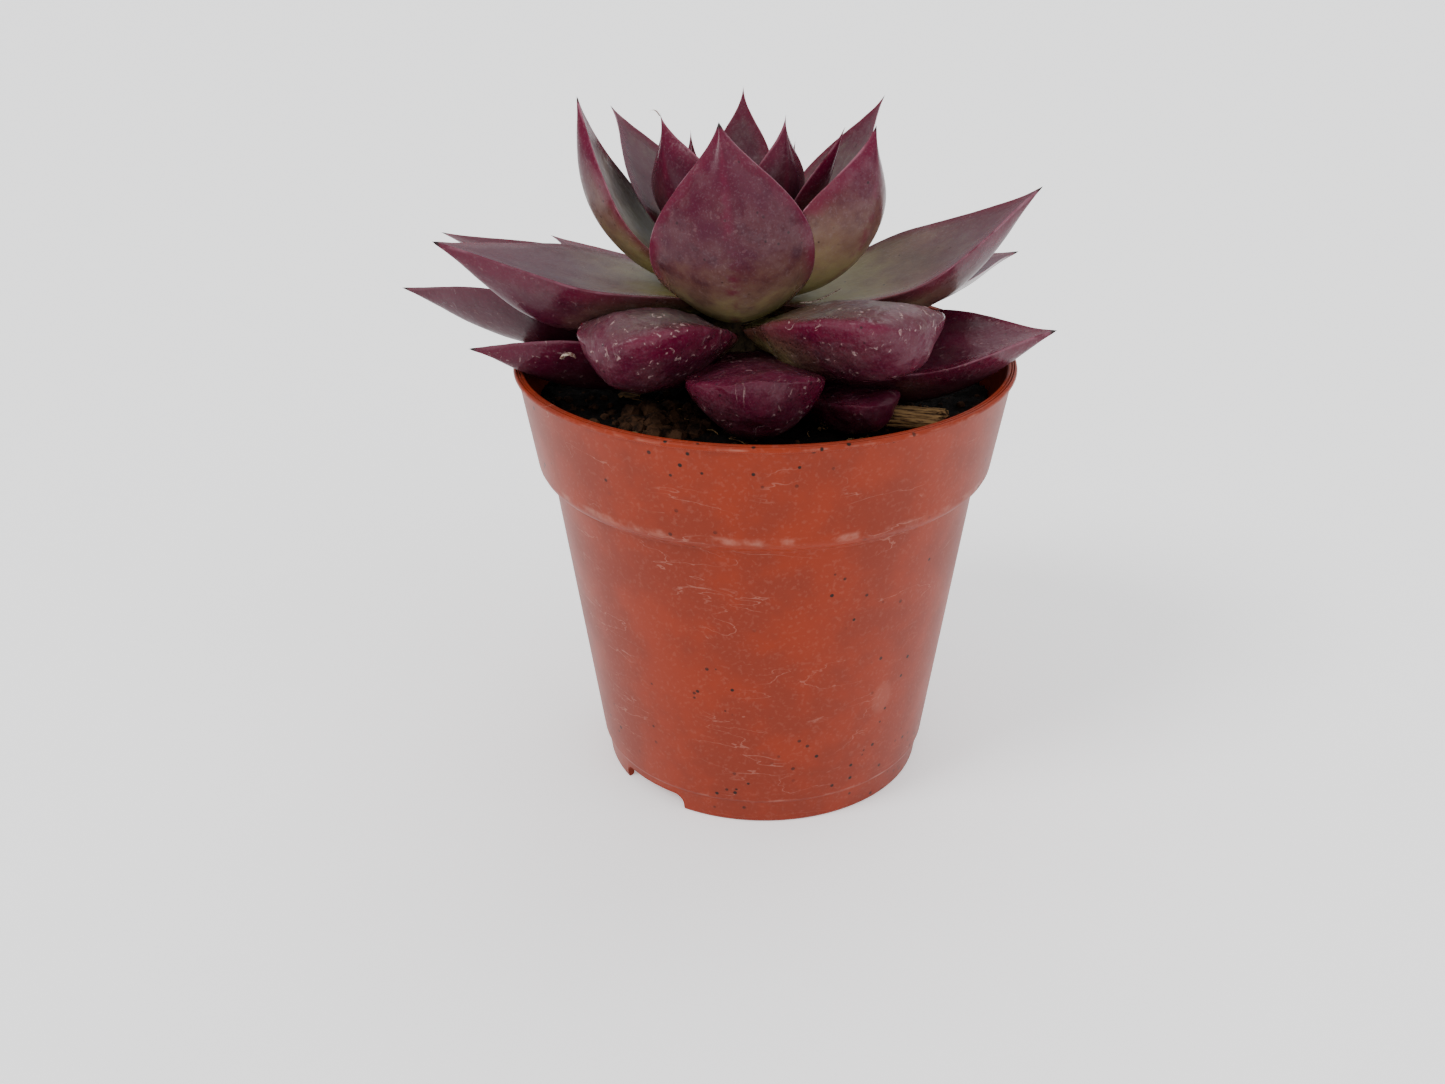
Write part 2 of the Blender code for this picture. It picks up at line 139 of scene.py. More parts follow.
def rough_up(piece, texture, strength, mid_level=0.5, **settings):
    """Push a piece's points out and in by a cloud texture."""
    apply_modifier(piece, "DISPLACE", texture=texture, texture_coords="LOCAL", mid_level=mid_level,
                   strength=strength, **settings)


def smooth(piece):
    """Shade a piece as one smooth surface."""
    pick(piece)
    bpy.ops.object.shade_smooth()


# %% [markdown]
# A CAD solid arrives as loose triangles, each with its own corners. Welding a copy joins them into one
# skin, which can then be subdivided and shaped. The CAD solid itself stays as it is.

# %% Copy a CAD solid as one skin, finish a piece
WELD_DISTANCE = 0.01 * MM


def welded_copy(node_name, piece_name):
    """Copy a CAD solid and weld its loose triangles into one skin."""
    piece = put_in_scene(piece_name, nodes[node_name].data.copy())
    edit_all(piece)
    bpy.ops.mesh.remove_doubles(threshold=WELD_DISTANCE)
    close_edit()
    return piece


def finish_piece(piece, slot_name, material, *replaced):
    """Give a piece its material and its body, and hide the CAD solids that it stands for; slot_name is not
    used.
    """
    piece.data.materials.clear()
    piece.data.materials.append(material)
    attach(piece, "root")
    if replaced:
        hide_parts(*replaced)


# %% [markdown]
# Paint chips and screens give a colour as a hex value, which is stored bent to suit a screen. A renderer
# adds light up, so it needs the straight, linear amount of each of the three colours.

# %% Turn a hex colour into linear light
def linear(hex_colour):
    """Turn #rrggbb into the linear red, green, blue and alpha that a shader takes."""
    channels = [int(hex_colour[i:i + 2], 16) / 255 for i in (1, 3, 5)]
    straight = [c / 12.92 if c <= 0.04045 else ((c + 0.055) / 1.055) ** 2.4 for c in channels]
    return (*straight, 1.0)


# %% [markdown]
# A material is a small graph of nodes. One function adds a node, gives it its settings, and fills or links
# its inputs, by their names or in their order. A hex colour is turned to linear light on the way in. Two
# sets of settings come up again and again: an eased ramp, whose inputs are the value, where the ramp starts
# and ends, and what it gives there (0 and 1 if nothing is said), and a mix of two colours, whose inputs are
# numbered 0 for the share, 6 and 7 for the colours. A texture node takes the number of patterns to a metre,
# so a pattern's real size is turned over first.

# %% Add one node to a material
SMOOTH = {"interpolation_type": "SMOOTHSTEP"}
COLOURS = {"data_type": "RGBA", "out": 2}


def add(material, kind, inputs=(), out=0, **settings):
    """Add a shader node with its settings and inputs, by name or in order, and return one of its outputs."""
    tree = material.node_tree
    node = tree.nodes.new("ShaderNode" + kind)
    for name, value in settings.items():
        setattr(node, name, value)
    named = inputs if isinstance(inputs, dict) else dict(enumerate(inputs))
    for name, value in named.items():
        if isinstance(value, bpy.types.NodeSocket):
            tree.links.new(value, node.inputs[name])
        else:
            node.inputs[name].default_value = linear(value) if isinstance(value, str) else value
    return node.outputs[out] if len(node.outputs) else None


def new_material(name):
    """Make an empty material to add nodes to."""
    material = bpy.data.materials.new(name)
    material.use_nodes = True
    material.node_tree.nodes.clear()
    return material


def per(size):
    """Turn a pattern's size in millimetres into a texture node's scale."""
    return 1 / (size * MM)


# %% [markdown]
# Painting goes in layers, as with real paint. A colour is laid over the body where one or more patterns are
# high. The body may be a hex value or what was painted before. A last step raises the reliefs one on
# another and joins everything in the shader.

# %% Lay colours over a body, end a material
def lay_where(material, body, colour, *patterns):
    """Lay a colour over the body; the patterns' product is its share."""
    share = patterns[0]
    for pattern in patterns[1:]:
        share = add(material, "Math", [share, pattern], operation="MULTIPLY")
    return add(material, "Mix", {0: share, 6: body, 7: colour}, **COLOURS)


def lay_over(material, body, colour, pattern, start, full, most=1.0):
    """Lay a colour over the body, from none where the pattern is at start to most where it is at full."""
    share = add(material, "MapRange", [pattern, start, full, 0.0, most], **SMOOTH)
    return lay_where(material, body, colour, share)


def find_patches(material, spot, size, detail, start, full, most=1.0):
    """Return cloudy patches of that size: where a noise goes from start to full."""
    noise = add(material, "TexNoise", {"Vector": spot, "Scale": per(size), "Detail": detail})
    return add(material, "MapRange", [noise, start, full, 0.0, most], **SMOOTH)


def end_material(material, body, rough, gloss, reliefs, more=None):
    """Join all in the shader. A relief is a pattern, strength and depth in mm; gloss is IOR and its level."""
    inputs = {"Base Color": body, "Roughness": rough, "IOR": gloss[0], "Specular IOR Level": gloss[1]}
    inputs.update(more or {})
    raised = {}
    for height, strength, depth in reliefs:
        relief = {"Height": height, "Strength": strength, "Distance": depth * MM}
        raised = {"Normal": add(material, "Bump", {**relief, **raised})}
    shader = add(material, "BsdfPrincipled", {**inputs, **raised})
    add(material, "OutputMaterial", {"Surface": shader})
    return material


# %% [markdown]
# ## The camera
# The camera stands where the photographer's did: about a third of a metre in front of the pot, above the
# plant and looking down on it. Its place was worked out from the ovals that the pot's round rim, collar and
# foot make.

# %% Set the camera
POT_AXIS = Vector((10.45 * MM, -0.75 * MM, 0))
CAMERA_FORWARD = 301.5 * MM
CAMERA_HEIGHT = 195.7 * MM
CAMERA_DOWN = math.radians(25.79)
CAMERA_LEFT = math.radians(1.73)
CAMERA_ROLL = math.radians(-0.46)
LENS = 37.37
SENSOR_WIDTH = 36

camera_data = bpy.data.cameras.new("camera")
camera_data.lens = LENS
camera_data.sensor_width = SENSOR_WIDTH
camera = put_in_scene("camera", camera_data)
turn = Matrix.Rotation(CAMERA_LEFT, 4, "Z")
turn = turn @ Matrix.Rotation(math.radians(90) - CAMERA_DOWN, 4, "X")
turn = turn @ Matrix.Rotation(CAMERA_ROLL, 4, "Z")
place = POT_AXIS + Vector((0, -CAMERA_FORWARD, CAMERA_HEIGHT))
camera.matrix_world = Matrix.Translation(place) @ turn
bpy.context.scene.camera = camera
print("camera at, mm:", [round(1000 * c) for c in place])

# %% [markdown]
# ## Light and floor
# The photo was taken in soft daylight that comes from all round, a little more from above and behind. Four
# wide, far lamps and a sky that is brightest overhead give the same even light, with soft shadows. A far
# lamp lights the floor evenly, so the floor stays one pale tone to its edge. Each lamp has the way that its
# light comes from, how many degrees of the sky it covers, its strength and its colour.

# %% Lamps and sky
LAMPS = {
    "window_left": ((-0.7, -0.5, 0.9), 22, 1.6, "#ffffff"),
    "window_back": ((0.3, 0.8, 1.0), 60, 0.8, "#ffffff"),
    "window_front": ((0.1, -1.0, 0.3), 70, 0.42, "#ffffff"),
    "window_right": ((0.9, -0.6, 0.55), 50, 0.8, "#f4f6ff"),
}
SKY_STRENGTH = 0.95
SKY_LOW = "#bfc2c8"
SKY_HIGH = "#ffffff"


def add_lamp(name, towards, spread, strength, colour):
    """Add a far lamp whose light comes from that way, spread over that many degrees."""
    data = bpy.data.lights.new(name, "SUN")
    data.angle = math.radians(spread)
    data.energy = strength
    data.color = linear(colour)[:3]
    lamp = put_in_scene(name, data)
    lamp.location = towards
    lamp.rotation_euler = (-Vector(towards)).to_track_quat("-Z", "Y").to_euler()


for lamp_name, lamp_settings in LAMPS.items():
    add_lamp(lamp_name, *lamp_settings)

world = bpy.data.worlds.new("pale_sky")
world.use_nodes = True
world.node_tree.nodes.clear()
bpy.context.scene.world = world
sky_way = add(world, "TexCoord")
sky_height = add(world, "SeparateXYZ", {"Vector": sky_way}, out=2)
sky_tone = lay_over(world, SKY_LOW, SKY_HIGH, sky_height, 0.0, 0.8)
sky = add(world, "Background", {"Color": sky_tone, "Strength": SKY_STRENGTH})
add(world, "OutputWorld", {"Surface": sky})

# %% [markdown]
# The floor is white paper on a light table: a little light of its own keeps it paler than paper alone would
# be.

# %% Floor
FLOOR_SIZE = 12.0
FLOOR_GLOW = 0.4
PAPER_GRAIN = 20
PAPER_DULL = "#f8f8f8"
PAPER_WHITE = "#fbfbfb"

floor = start_piece("plane", "floor", size=FLOOR_SIZE, location=(0, 0, 0))
floor_paper = new_material("matt white paper")
floor_spot = add(floor_paper, "TexCoord", out=3)
paper_grain = add(floor_paper, "TexNoise", {"Vector": floor_spot, "Scale": per(PAPER_GRAIN), "Detail": 2.0})
paper_tone = lay_where(floor_paper, PAPER_DULL, PAPER_WHITE, paper_grain)
end_material(floor_paper, paper_tone, 0.9, (1.5, 0.2), (),
             {"Emission Color": "#ffffff", "Emission Strength": FLOOR_GLOW})
floor.data.materials.append(floor_paper)

# %% [markdown]
# ## The leaf's finish
# An echeveria's leaf is a water store with a thick, waxy skin. On this one the underside is plum, the upper
# face grey-green under a purple flush, and the foot of the leaf, which the sun doesn't reach, yellow-green.
# Edges and tips are crimson. A dusty wax, the bloom, greys the skin in places, and old leaves carry pale
# scars. Each leaf's mesh will carry four attributes that the colours follow: leaf_share tells how far a
# point lies along the leaf, across it, and towards which face; leaf_place tells the same in metres, with
# the distance from the leaf's edge; leaf_mood holds how flushed, how green at the foot and how worn that
# leaf is; and the fourth how much deeper a plum the leaf is given, partly its own colour and partly
# painted shade on leaves that lie in shadow.

# %% Maps that the leaf's colours follow
NOISES = {"clouds": (11, 2), "patches": (4.5, 3), "fine": (1.5, 3), "grain": (0.5, 2)}
LEAF_MAPS = {
    "leaf_share": ("along", "across", "face"),
    "leaf_place": ("run", "offset", "from_edge"),
    "leaf_mood": ("flush", "green", "wear"),
}


def read_leaf_maps(skin):
    """Return by name the maps on a leaf's mesh, and noises of several sizes in millimetres."""
    maps = {}
    for attribute, names in LEAF_MAPS.items():
        vector = add(skin, "Attribute", attribute_name=attribute, out=1)
        parts = add(skin, "SeparateXYZ", {"Vector": vector}).node.outputs
        maps.update(zip(names, parts))
        maps[attribute] = vector
    # The fourth map deepens the plum: partly the leaf's own colour, partly painted shade on leaves in shadow.
    maps["dark"] = add(skin, "Attribute", attribute_name="leaf_dark_and_shade", out=2)
    maps["edge"] = add(skin, "Math", [maps["across"]], operation="ABSOLUTE")
    spot = add(skin, "TexCoord", out=3)
    for name, (size, detail) in NOISES.items():
        noise = {"Vector": spot, "Scale": per(size), "Detail": detail, "Roughness": 0.6}
        maps[name] = add(skin, "TexNoise", noise)
    maps["spot"] = spot
    return maps


# %% [markdown]
# The two faces are mixed by the face map. On the underside plum gives way to grey mauve in clouds; the
# upper face shows its grey-green where the flush is weak. The foot itself turns olive and then
# yellow-green.

# %% Colours of the two faces
PLUM = "#430c22"
DARK_PLUM = "#36101c"
GREY_MAUVE = "#4c232a"
OLIVE_GREY = "#735c48"
YELLOW_GREEN = "#8f8853"
GREY_GREEN = "#584c4b"
PALE_GREEN = "#646056"
WINE = "#440c22"
CRIMSON = "#540e29"


def paint_faces(skin, maps):
    """Mix the underside's plum and the upper face's flushed grey-green."""
    under = lay_over(skin, PLUM, GREY_MAUVE, maps["clouds"], 0.4, 0.62)
    under = lay_over(skin, under, DARK_PLUM, maps["patches"], 0.46, 0.68, 0.75)
    bare = lay_over(skin, GREY_GREEN, PALE_GREEN, maps["fine"], 0.35, 0.7)
    cloudy = add(skin, "Math", [maps["clouds"], -0.5], operation="ADD")
    flushed = add(skin, "Math", [cloudy, 1.6, maps["flush"]], operation="MULTIPLY_ADD", use_clamp=True)
    upper = lay_where(skin, bare, WINE, flushed)
    return lay_over(skin, under, upper, maps["face"], -0.1, 0.3)


def paint_length(skin, maps, body):
    """Redden the half towards the tip, and turn the foot olive and yellow-green."""
    wobble = add(skin, "Math", [maps["patches"], 0.3, -0.15], operation="MULTIPLY_ADD")
    wavy = add(skin, "Math", [maps["along"], wobble], operation="ADD")
    body = lay_over(skin, body, CRIMSON, wavy, 0.55, 1.0, 0.75)
    reach = add(skin, "Math", [maps["green"], 0.01], operation="ADD")
    nearness = add(skin, "Math", [wavy, reach], operation="DIVIDE")
    body = lay_over(skin, body, OLIVE_GREY, nearness, 1.15, 0.55, 0.85)
    return lay_over(skin, body, YELLOW_GREEN, nearness, 0.8, 0.2)


# %% [markdown]
# The leaf's edge is a crimson band about three millimetres wide, and along its crest a thin pale line is
# painted as a highlight, weaker on worn leaves. Under the leaf the keel is redder too. The band's width is
# measured in metres from the edge, so that it is as wide on a small leaf as on a large one.

# %% Edges and keel
EDGE_CRIMSON = "#5a0a29"
EDGE_HIGHLIGHT_LINE = "#a67482"
KEEL_RED = "#5c0e2a"


def paint_edges(skin, maps, body):
    """Draw the crimson edge, a thin painted highlight along its crest, and the red keel."""
    shift = add(skin, "Math", [maps["patches"], 4 * MM, -2 * MM], operation="MULTIPLY_ADD")
    from_edge = add(skin, "Math", [maps["from_edge"], shift], operation="ADD")
    body = lay_over(skin, body, EDGE_CRIMSON, from_edge, 3.0 * MM, 0.5 * MM, 0.78)
    # A thin painted highlight along the crest of the leaf's edge.
    crest = add(skin, "MapRange", [maps["from_edge"], 0.4 * MM, 0.1 * MM], **SMOOTH)
    broken = add(skin, "MapRange", [maps["patches"], 0.4, 0.6, 0.08, 0.5], **SMOOTH)
    unworn = add(skin, "Math", [1.0, maps["wear"]], operation="SUBTRACT")
    body = lay_where(skin, body, EDGE_HIGHLIGHT_LINE, crest, broken, unworn)
    middle = add(skin, "MapRange", [maps["edge"], 0.16, 0.0], **SMOOTH)
    under = add(skin, "MapRange", [maps["face"], -0.5, -0.95], **SMOOTH)
    patchy = add(skin, "MapRange", [maps["patches"], 0.4, 0.6, 0.0, 0.6], **SMOOTH)
    return lay_where(skin, body, KEEL_RED, middle, under, patchy)


# %% [markdown]
# Age shows as dark specks, a dusty bloom and, on the worn lower leaves, pale scars: flecks, scratches and
# short curved cuts. A Voronoi pattern scatters flecks at its cells' middles. A thin ring round each middle,
# kept only here and there, leaves the curved cuts. All sizes are in millimetres.

# %% Specks and bloom
SPECK = "#1f0a10"
BLOOM = "#8b7a80"
SPECK_SPACING = 2.7


def paint_specks(skin, maps, body):
    """Scatter small dark specks, and a fine mottle over the whole skin."""
    body = lay_over(skin, body, BLOOM, maps["grain"], 0.5, 0.75, 0.12)
    dots = add(skin, "TexVoronoi", {"Vector": maps["spot"], "Scale": per(SPECK_SPACING)})
    dots = add(skin, "MapRange", [dots, 0.13, 0.07, 0.0, 0.85], **SMOOTH)
    some = add(skin, "MapRange", [maps["clouds"], 0.45, 0.6], **SMOOTH)
    return lay_where(skin, body, SPECK, dots, some)


def find_bloom(skin, maps):
    """Return how dusty the skin is."""
    wide = add(skin, "MapRange", [maps["clouds"], 0.4, 0.65], **SMOOTH)
    small = add(skin, "MapRange", [maps["fine"], 0.3, 0.75], **SMOOTH)
    return add(skin, "Math", [wide, small], operation="MULTIPLY")


# %% Scars
SCAR = "#c3a5a0"
SCRATCH_SIZE = 1.5
SCRATCH_STRETCH = (0.6, 1.0, 0.5)
CUT_SPACING = 4.4
CUT_RADIUS = 0.34
CUT_BEND_SIZE = 1.2
CUT_BEND = 1.4 * MM


def find_scars(skin, maps):
    """Return where the scars are: scratches, flecks and curved cuts, by the leaf's wear."""
    scratches = add(skin, "Mapping", {"Vector": maps["leaf_place"], "Scale": SCRATCH_STRETCH})
    scratches = add(skin, "TexNoise", {"Vector": scratches, "Scale": per(SCRATCH_SIZE), "Detail": 4.0,
                                       "Roughness": 0.65, "Distortion": 0.8})
    healed = add(skin, "MapRange", [maps["along"], 0.72, 0.93, 0.0, 0.04], **SMOOTH)
    scratches = add(skin, "Math", [healed, maps["wear"], scratches], operation="MULTIPLY_ADD")
    scratches = add(skin, "MapRange", [scratches, 0.65, 0.72], **SMOOTH)
    warp = add(skin, "TexNoise", {"Vector": maps["spot"], "Scale": per(CUT_BEND_SIZE), "Detail": 2.0}, out=1)
    warp = add(skin, "VectorMath", {0: warp, "Scale": CUT_BEND}, operation="SCALE")
    bent = add(skin, "VectorMath", {0: maps["spot"], 1: warp}, operation="ADD")
    cells = add(skin, "TexVoronoi", {"Vector": bent, "Scale": per(CUT_SPACING)})
    flecks = add(skin, "MapRange", [cells, 0.1, 0.07], **SMOOTH)
    off_ring = add(skin, "Math", [cells, -CUT_RADIUS], operation="ADD")
    off_ring = add(skin, "Math", [off_ring], operation="ABSOLUTE")
    rings = add(skin, "MapRange", [off_ring, 0.045, 0.015], **SMOOTH)
    kept = add(skin, "MapRange", [maps["fine"], 0.55, 0.6], **SMOOTH)
    arcs = add(skin, "Math", [rings, kept], operation="MULTIPLY")
    scars = add(skin, "Math", [scratches, flecks], operation="MAXIMUM")
    scars = add(skin, "Math", [scars, arcs], operation="MAXIMUM")
    return add(skin, "Math", [scars, maps["wear"]], operation="MULTIPLY")


# %% [markdown]
# The skin is satin where the wax is clean, dull where it is dusty or scarred, and polished along the edges,
# which are rubbed most. A thin clear coat and a little light inside the flesh finish it.

# %% Leaf material
THORN = "#1d0b0c"
LEAF_GLOSS = (1.42, 0.17)


def paint_age(skin, maps, body, bloom, scars):
    """Lay bloom, scars, a deeper plum (partly own colour, partly painted shade) and the tip's dark thorn over
    the body.
    """
    body = lay_where(skin, body, BLOOM, bloom, 0.1)
    body = lay_where(skin, body, SCAR, scars, 0.45)
    # Deeper plum: partly the leaf's own colour, partly painted shade on leaves that lie in shadow.
    body = lay_where(skin, body, DARK_PLUM, maps["dark"], 0.6)
    return lay_over(skin, body, THORN, maps["along"], 0.968, 0.985)


def make_leaf_skin():
    """Waxy leaf skin: deep body colours under a satin cuticle, dull where it is dusty or scarred."""
    skin = new_material("waxy echeveria leaf")
    maps = read_leaf_maps(skin)
    body = paint_faces(skin, maps)
    for paint in (paint_length, paint_edges, paint_specks):
        body = paint(skin, maps, body)
    bloom = find_bloom(skin, maps)
    scars = find_scars(skin, maps)
    body = paint_age(skin, maps, body, bloom, scars)
    rough = add(skin, "MapRange", [bloom, 0.0, 1.0, 0.34, 0.5])
    rough = add(skin, "Math", [scars, 0.15, rough], operation="MULTIPLY_ADD")
    rubbed = add(skin, "MapRange", [maps["from_edge"], 4 * MM, 1.5 * MM, 0.0, 0.14], **SMOOTH)
    rough = add(skin, "Math", [rough, rubbed], operation="SUBTRACT")
    dents = add(skin, "Math", [maps["patches"], maps["wear"]], operation="MULTIPLY")
    reliefs = ((maps["fine"], 0.3, 0.2), (scars, 0.5, 0.25), (dents, 0.6, 1.5))
    return end_material(skin, body, rough, LEAF_GLOSS, reliefs, {
        "Coat Weight": 0.1, "Coat Roughness": 0.2, "Subsurface Weight": 0.05, "Subsurface Scale": 1.5 * MM})


leaf_skin = make_leaf_skin()
print("leaf material nodes:", len(leaf_skin.node_tree.nodes))

# %% [markdown]
# ## Reading a leaf
# Each CAD leaf is a stack of rings from its foot to its tip. Counting steps from the tip, where twelve
# edges meet, sorts its points into those rings again. Each ring has two points furthest apart, the leaf's
# edges, and between them one path over the upper face and one round the underside.

# %% Sort a leaf's points into rings
def neighbours_of(mesh):
    """List each point's neighbours along the mesh's edges."""
    neighbours = [[] for _ in mesh.vertices]
    for edge in mesh.edges:
        first, second = edge.vertices
        neighbours[first].append(second)
        neighbours[second].append(first)
    return neighbours


def rings_from_tip(mesh):
    """Return each point's ring, counted from the tip, and the rings as lists of points."""
    neighbours = neighbours_of(mesh)
    tip = max(range(len(neighbours)), key=lambda i: len(neighbours[i]))
    ring_of = {tip: 0}
    rings = [[tip]]
    while True:
        found = []
        for point in rings[-1]:
            for other in neighbours[point]:
                if other not in ring_of:
                    ring_of[other] = len(rings)
                    found.append(other)
        if not found:
            return ring_of, rings
        rings.append(found)


def middle_of(mesh, ring):
    """Return the mean place of a ring's points."""
    return sum((mesh.vertices[i].co for i in ring), Vector()) / len(ring)


def widest_pair(mesh, ring, side):
    """Return the two points of a ring that lie furthest apart, ordered along side."""
    points = [(i, mesh.vertices[i].co) for i in ring]
    pairs = [(a, b) for a in points for b in points if (b[1] - a[1]).dot(side) > 0]
    spans = [((b[1] - a[1]).length * (b[1] - a[1]).normalized().dot(side) ** 2, a[0], b[0]) for a, b in pairs]
    return max(spans)[1:]


# %% Measure where each point lies on its leaf
Section = namedtuple("Section", "middle along side normal half low high")
STEM_AXIS = (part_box("stem")[0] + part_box("stem")[1]) / 2


def leaf_sections(mesh, rings):
    """Measure each ring: middle, ways to the tip, across and out of the upper face, and edge points."""
    centres = [middle_of(mesh, ring) for ring in rings]
    last = len(rings) - 1
    outward = centres[0] - STEM_AXIS
    outward.z = 0
    outward.normalize()
    side = UP.cross(outward)
    sections = [None] * len(rings)
    for k in range(last, 0, -1):
        along = (centres[k - 1] - centres[min(k + 1, last)]).normalized()
        low, high = widest_pair(mesh, rings[k], side)
        first = mesh.vertices[low].co.copy()
        second = mesh.vertices[high].co.copy()
        side = (second - first).normalized()
        normal = side.cross(along).normalized()
        if normal.dot(UP * along.dot(outward) - outward * along.z) < 0:
            normal = -normal
        half = (second - first).length / 2
        sections[k] = Section((first + second) / 2, along, side, normal, half, low, high)
    tip = rings[0][0]
    end = sections[1]
    sections[0] = Section(mesh.vertices[tip].co.copy(), end.along, end.side, end.normal, 0.0, tip, tip)
    return sections


def upper_points(mesh, ring, section):
    """Return the points of a ring that lie on the upper face, found by walking from edge to edge."""
    members = set(ring)
    links = {i: [] for i in ring}
    for edge in mesh.edges:
        first, second = edge.vertices
        if first in members and second in members:
            links[first].append(second)
            links[second].append(first)
    paths = []
    for start in links[section.low]:
        path = []
        previous, current = section.low, start
        while current != section.high and len(path) < len(ring):
            path.append(current)
            onward = [i for i in links[current] if i != previous]
            previous, current = current, onward[0]
        paths.append(path)
    heights = []
    for path in paths:
        height = sum(mesh.vertices[i].co.dot(section.normal) for i in path)
        heights.append(height / max(len(path), 1))
    return set(paths[heights.index(max(heights))])


# %% [markdown]
# A blunt leaf has lost its tip, so its maps stop short of the share where the dark thorn would be painted.
# The skin that grew over its end has no crimson band, so there the distance from the edge is made larger.

# %% Write the maps onto a leaf
BLUNT_LEAVES = ("leaf_01", "leaf_06", "leaf_09", "leaf_11")
BLUNT_END_SHARE = 0.93
HEALED_FROM = 0.85
HEALED_EDGE = 4 * MM


def write_maps(mesh, rings, sections, blunt):
    """Store leaf_share and leaf_place on a leaf's points, and return the leaf's length."""
    steps = [(sections[k].middle - sections[k + 1].middle).length for k in range(len(rings) - 1)]
    length = sum(steps)
    reach = BLUNT_END_SHARE if blunt else 1.0
    share = mesh.attributes.new("leaf_share", "FLOAT_VECTOR", "POINT")
    place = mesh.attributes.new("leaf_place", "FLOAT_VECTOR", "POINT")
    for k, ring in enumerate(rings):
        section = sections[k]
        run = sum(steps[k:])
        healed = HEALED_EDGE * max(0.0, run / length - HEALED_FROM) / (1 - HEALED_FROM) if blunt else 0.0
        top = upper_points(mesh, ring, section) if k else set()
        for i in ring:
            offset = (mesh.vertices[i].co - section.middle).dot(section.side)
            across = max(-1.0, min(1.0, offset / section.half)) if k else 0.0
            face = 0.0 if i in (section.low, section.high) else math.sqrt(max(0.0, 1 - across * across))
            share.data[i].vector = (reach * run / length, across, face if i in top else -face)
            place.data[i].vector = (run, offset, section.half - abs(offset) + healed)
    return length


# %% [markdown]
# ## Making a leaf's fine skin
# The coarse leaf works as a cage for a subdivision surface, which rounds it into a plump, smooth body. Each
# cage is first given the form of its own leaf. Wide scales its breadth and plump its underside's depth;
# crown raises the upper face by a share of its half width; turn rolls the leaf about its length, in degrees;
# lift raises its end and sag lowers its middle, in millimetres. A mood holds the shares, from 0 to 1, that
# the colours follow.

# %% Each leaf's own form and mood
LeafForm = namedtuple("LeafForm", "wide plump crown turn lift sag", defaults=(1.0, 1.0, 0.0, 0, 0.0, 0.0))
LeafMood = namedtuple("LeafMood", "flush green wear dark", defaults=(0.6, 0.4, 0.05, 0.1))
LEAF_FORMS = {
    "leaf_01": LeafForm(wide=1.3, plump=1.2, crown=0.03, lift=3.0),
    "leaf_02": LeafForm(wide=1.12, plump=1.05, crown=0.08, sag=-1.2),
    "leaf_05": LeafForm(wide=1.1, plump=1.6, crown=0.05),
    "leaf_06": LeafForm(wide=1.15, crown=0.1, lift=8.0),
    "leaf_07": LeafForm(wide=1.1, plump=1.2, crown=0.05, sag=0.4),
    "leaf_09": LeafForm(wide=1.05, plump=1.15, crown=0.12, lift=2.0),
    "leaf_11": LeafForm(wide=1.05, plump=1.1, crown=0.09, lift=3.0),
    "leaf_13": LeafForm(wide=1.4, plump=1.1, turn=8),
    "leaf_14": LeafForm(wide=1.1, plump=1.4),
    "leaf_17": LeafForm(plump=1.3, crown=0.06, turn=20, sag=3.5),
    "leaf_18": LeafForm(wide=0.9, plump=1.15, crown=0.05, turn=-18, sag=3.0),
    "leaf_21": LeafForm(wide=1.05, plump=1.1),
    "leaf_22": LeafForm(plump=1.2, turn=-13),
    "leaf_25": LeafForm(wide=1.35, plump=1.1),
    "leaf_28": LeafForm(wide=1.25, plump=1.2),
    "leaf_29": LeafForm(wide=1.15, plump=1.2),
}
# The fourth value deepens the plum: partly the leaf's own colour, partly painted shade on leaves in shadow.
LEAF_MOODS = {
    "leaf_01": LeafMood(1.0, 0.0, 0.5, 0.5),
    "leaf_02": LeafMood(1.0, 0.05, 0.6, 0.5),
    "leaf_05": LeafMood(1.0, 0.05, 0.35, 0.3),
    "leaf_06": LeafMood(1.0, 0.05, 1.0, 0.35),
    "leaf_07": LeafMood(1.0, 0.05, 0.3, 1.0),
    "leaf_09": LeafMood(0.5, 0.2, 1.0, 0.0),
    "leaf_10": LeafMood(1.0, 0.1, 0.2, 0.4),
    "leaf_11": LeafMood(0.5, 0.5, 0.9, 0.0),
    "leaf_13": LeafMood(1.0, 0.1, 0.15, 0.6),
    "leaf_14": LeafMood(1.0, 0.1, 0.2, 0.6),
    "leaf_16": LeafMood(0.5, 0.48, 0.12, 0.12),
    "leaf_17": LeafMood(0.6, 0.65, 0.1, 0.3),
    "leaf_18": LeafMood(0.95, 0.5, 0.25, 0.45),
    "leaf_21": LeafMood(0.3, 0.72, 0.1, 0.05),
    "leaf_22": LeafMood(0.2, 0.7, 0.1, 0.0),
    "leaf_24": LeafMood(0.5, 0.42, 0.05, 0.05),
    "leaf_28": LeafMood(1.0, 0.2, 0.1, 0.2),
    "leaf_29": LeafMood(1.0, 0.2, 0.1, 0.3),
}

# %% [markdown]
# All leaves have a foot that reaches into the stem, where leaves crowd so closely that no stem shows. A
# pointed leaf ends in a firm thorn, and a blunt one in a rounded end.

# %% Shape a leaf's cage
TURNED_FROM = 0.5
LIFTED_FROM = 0.55
FOOT_SCALES = ((-2, 1.15), (-1, 1.35))
TIP_SCALES = {False: ((1, 1.3),), True: ((1, 0.85), (2, 0.97))}
FOOT_DEPTH = 0.6


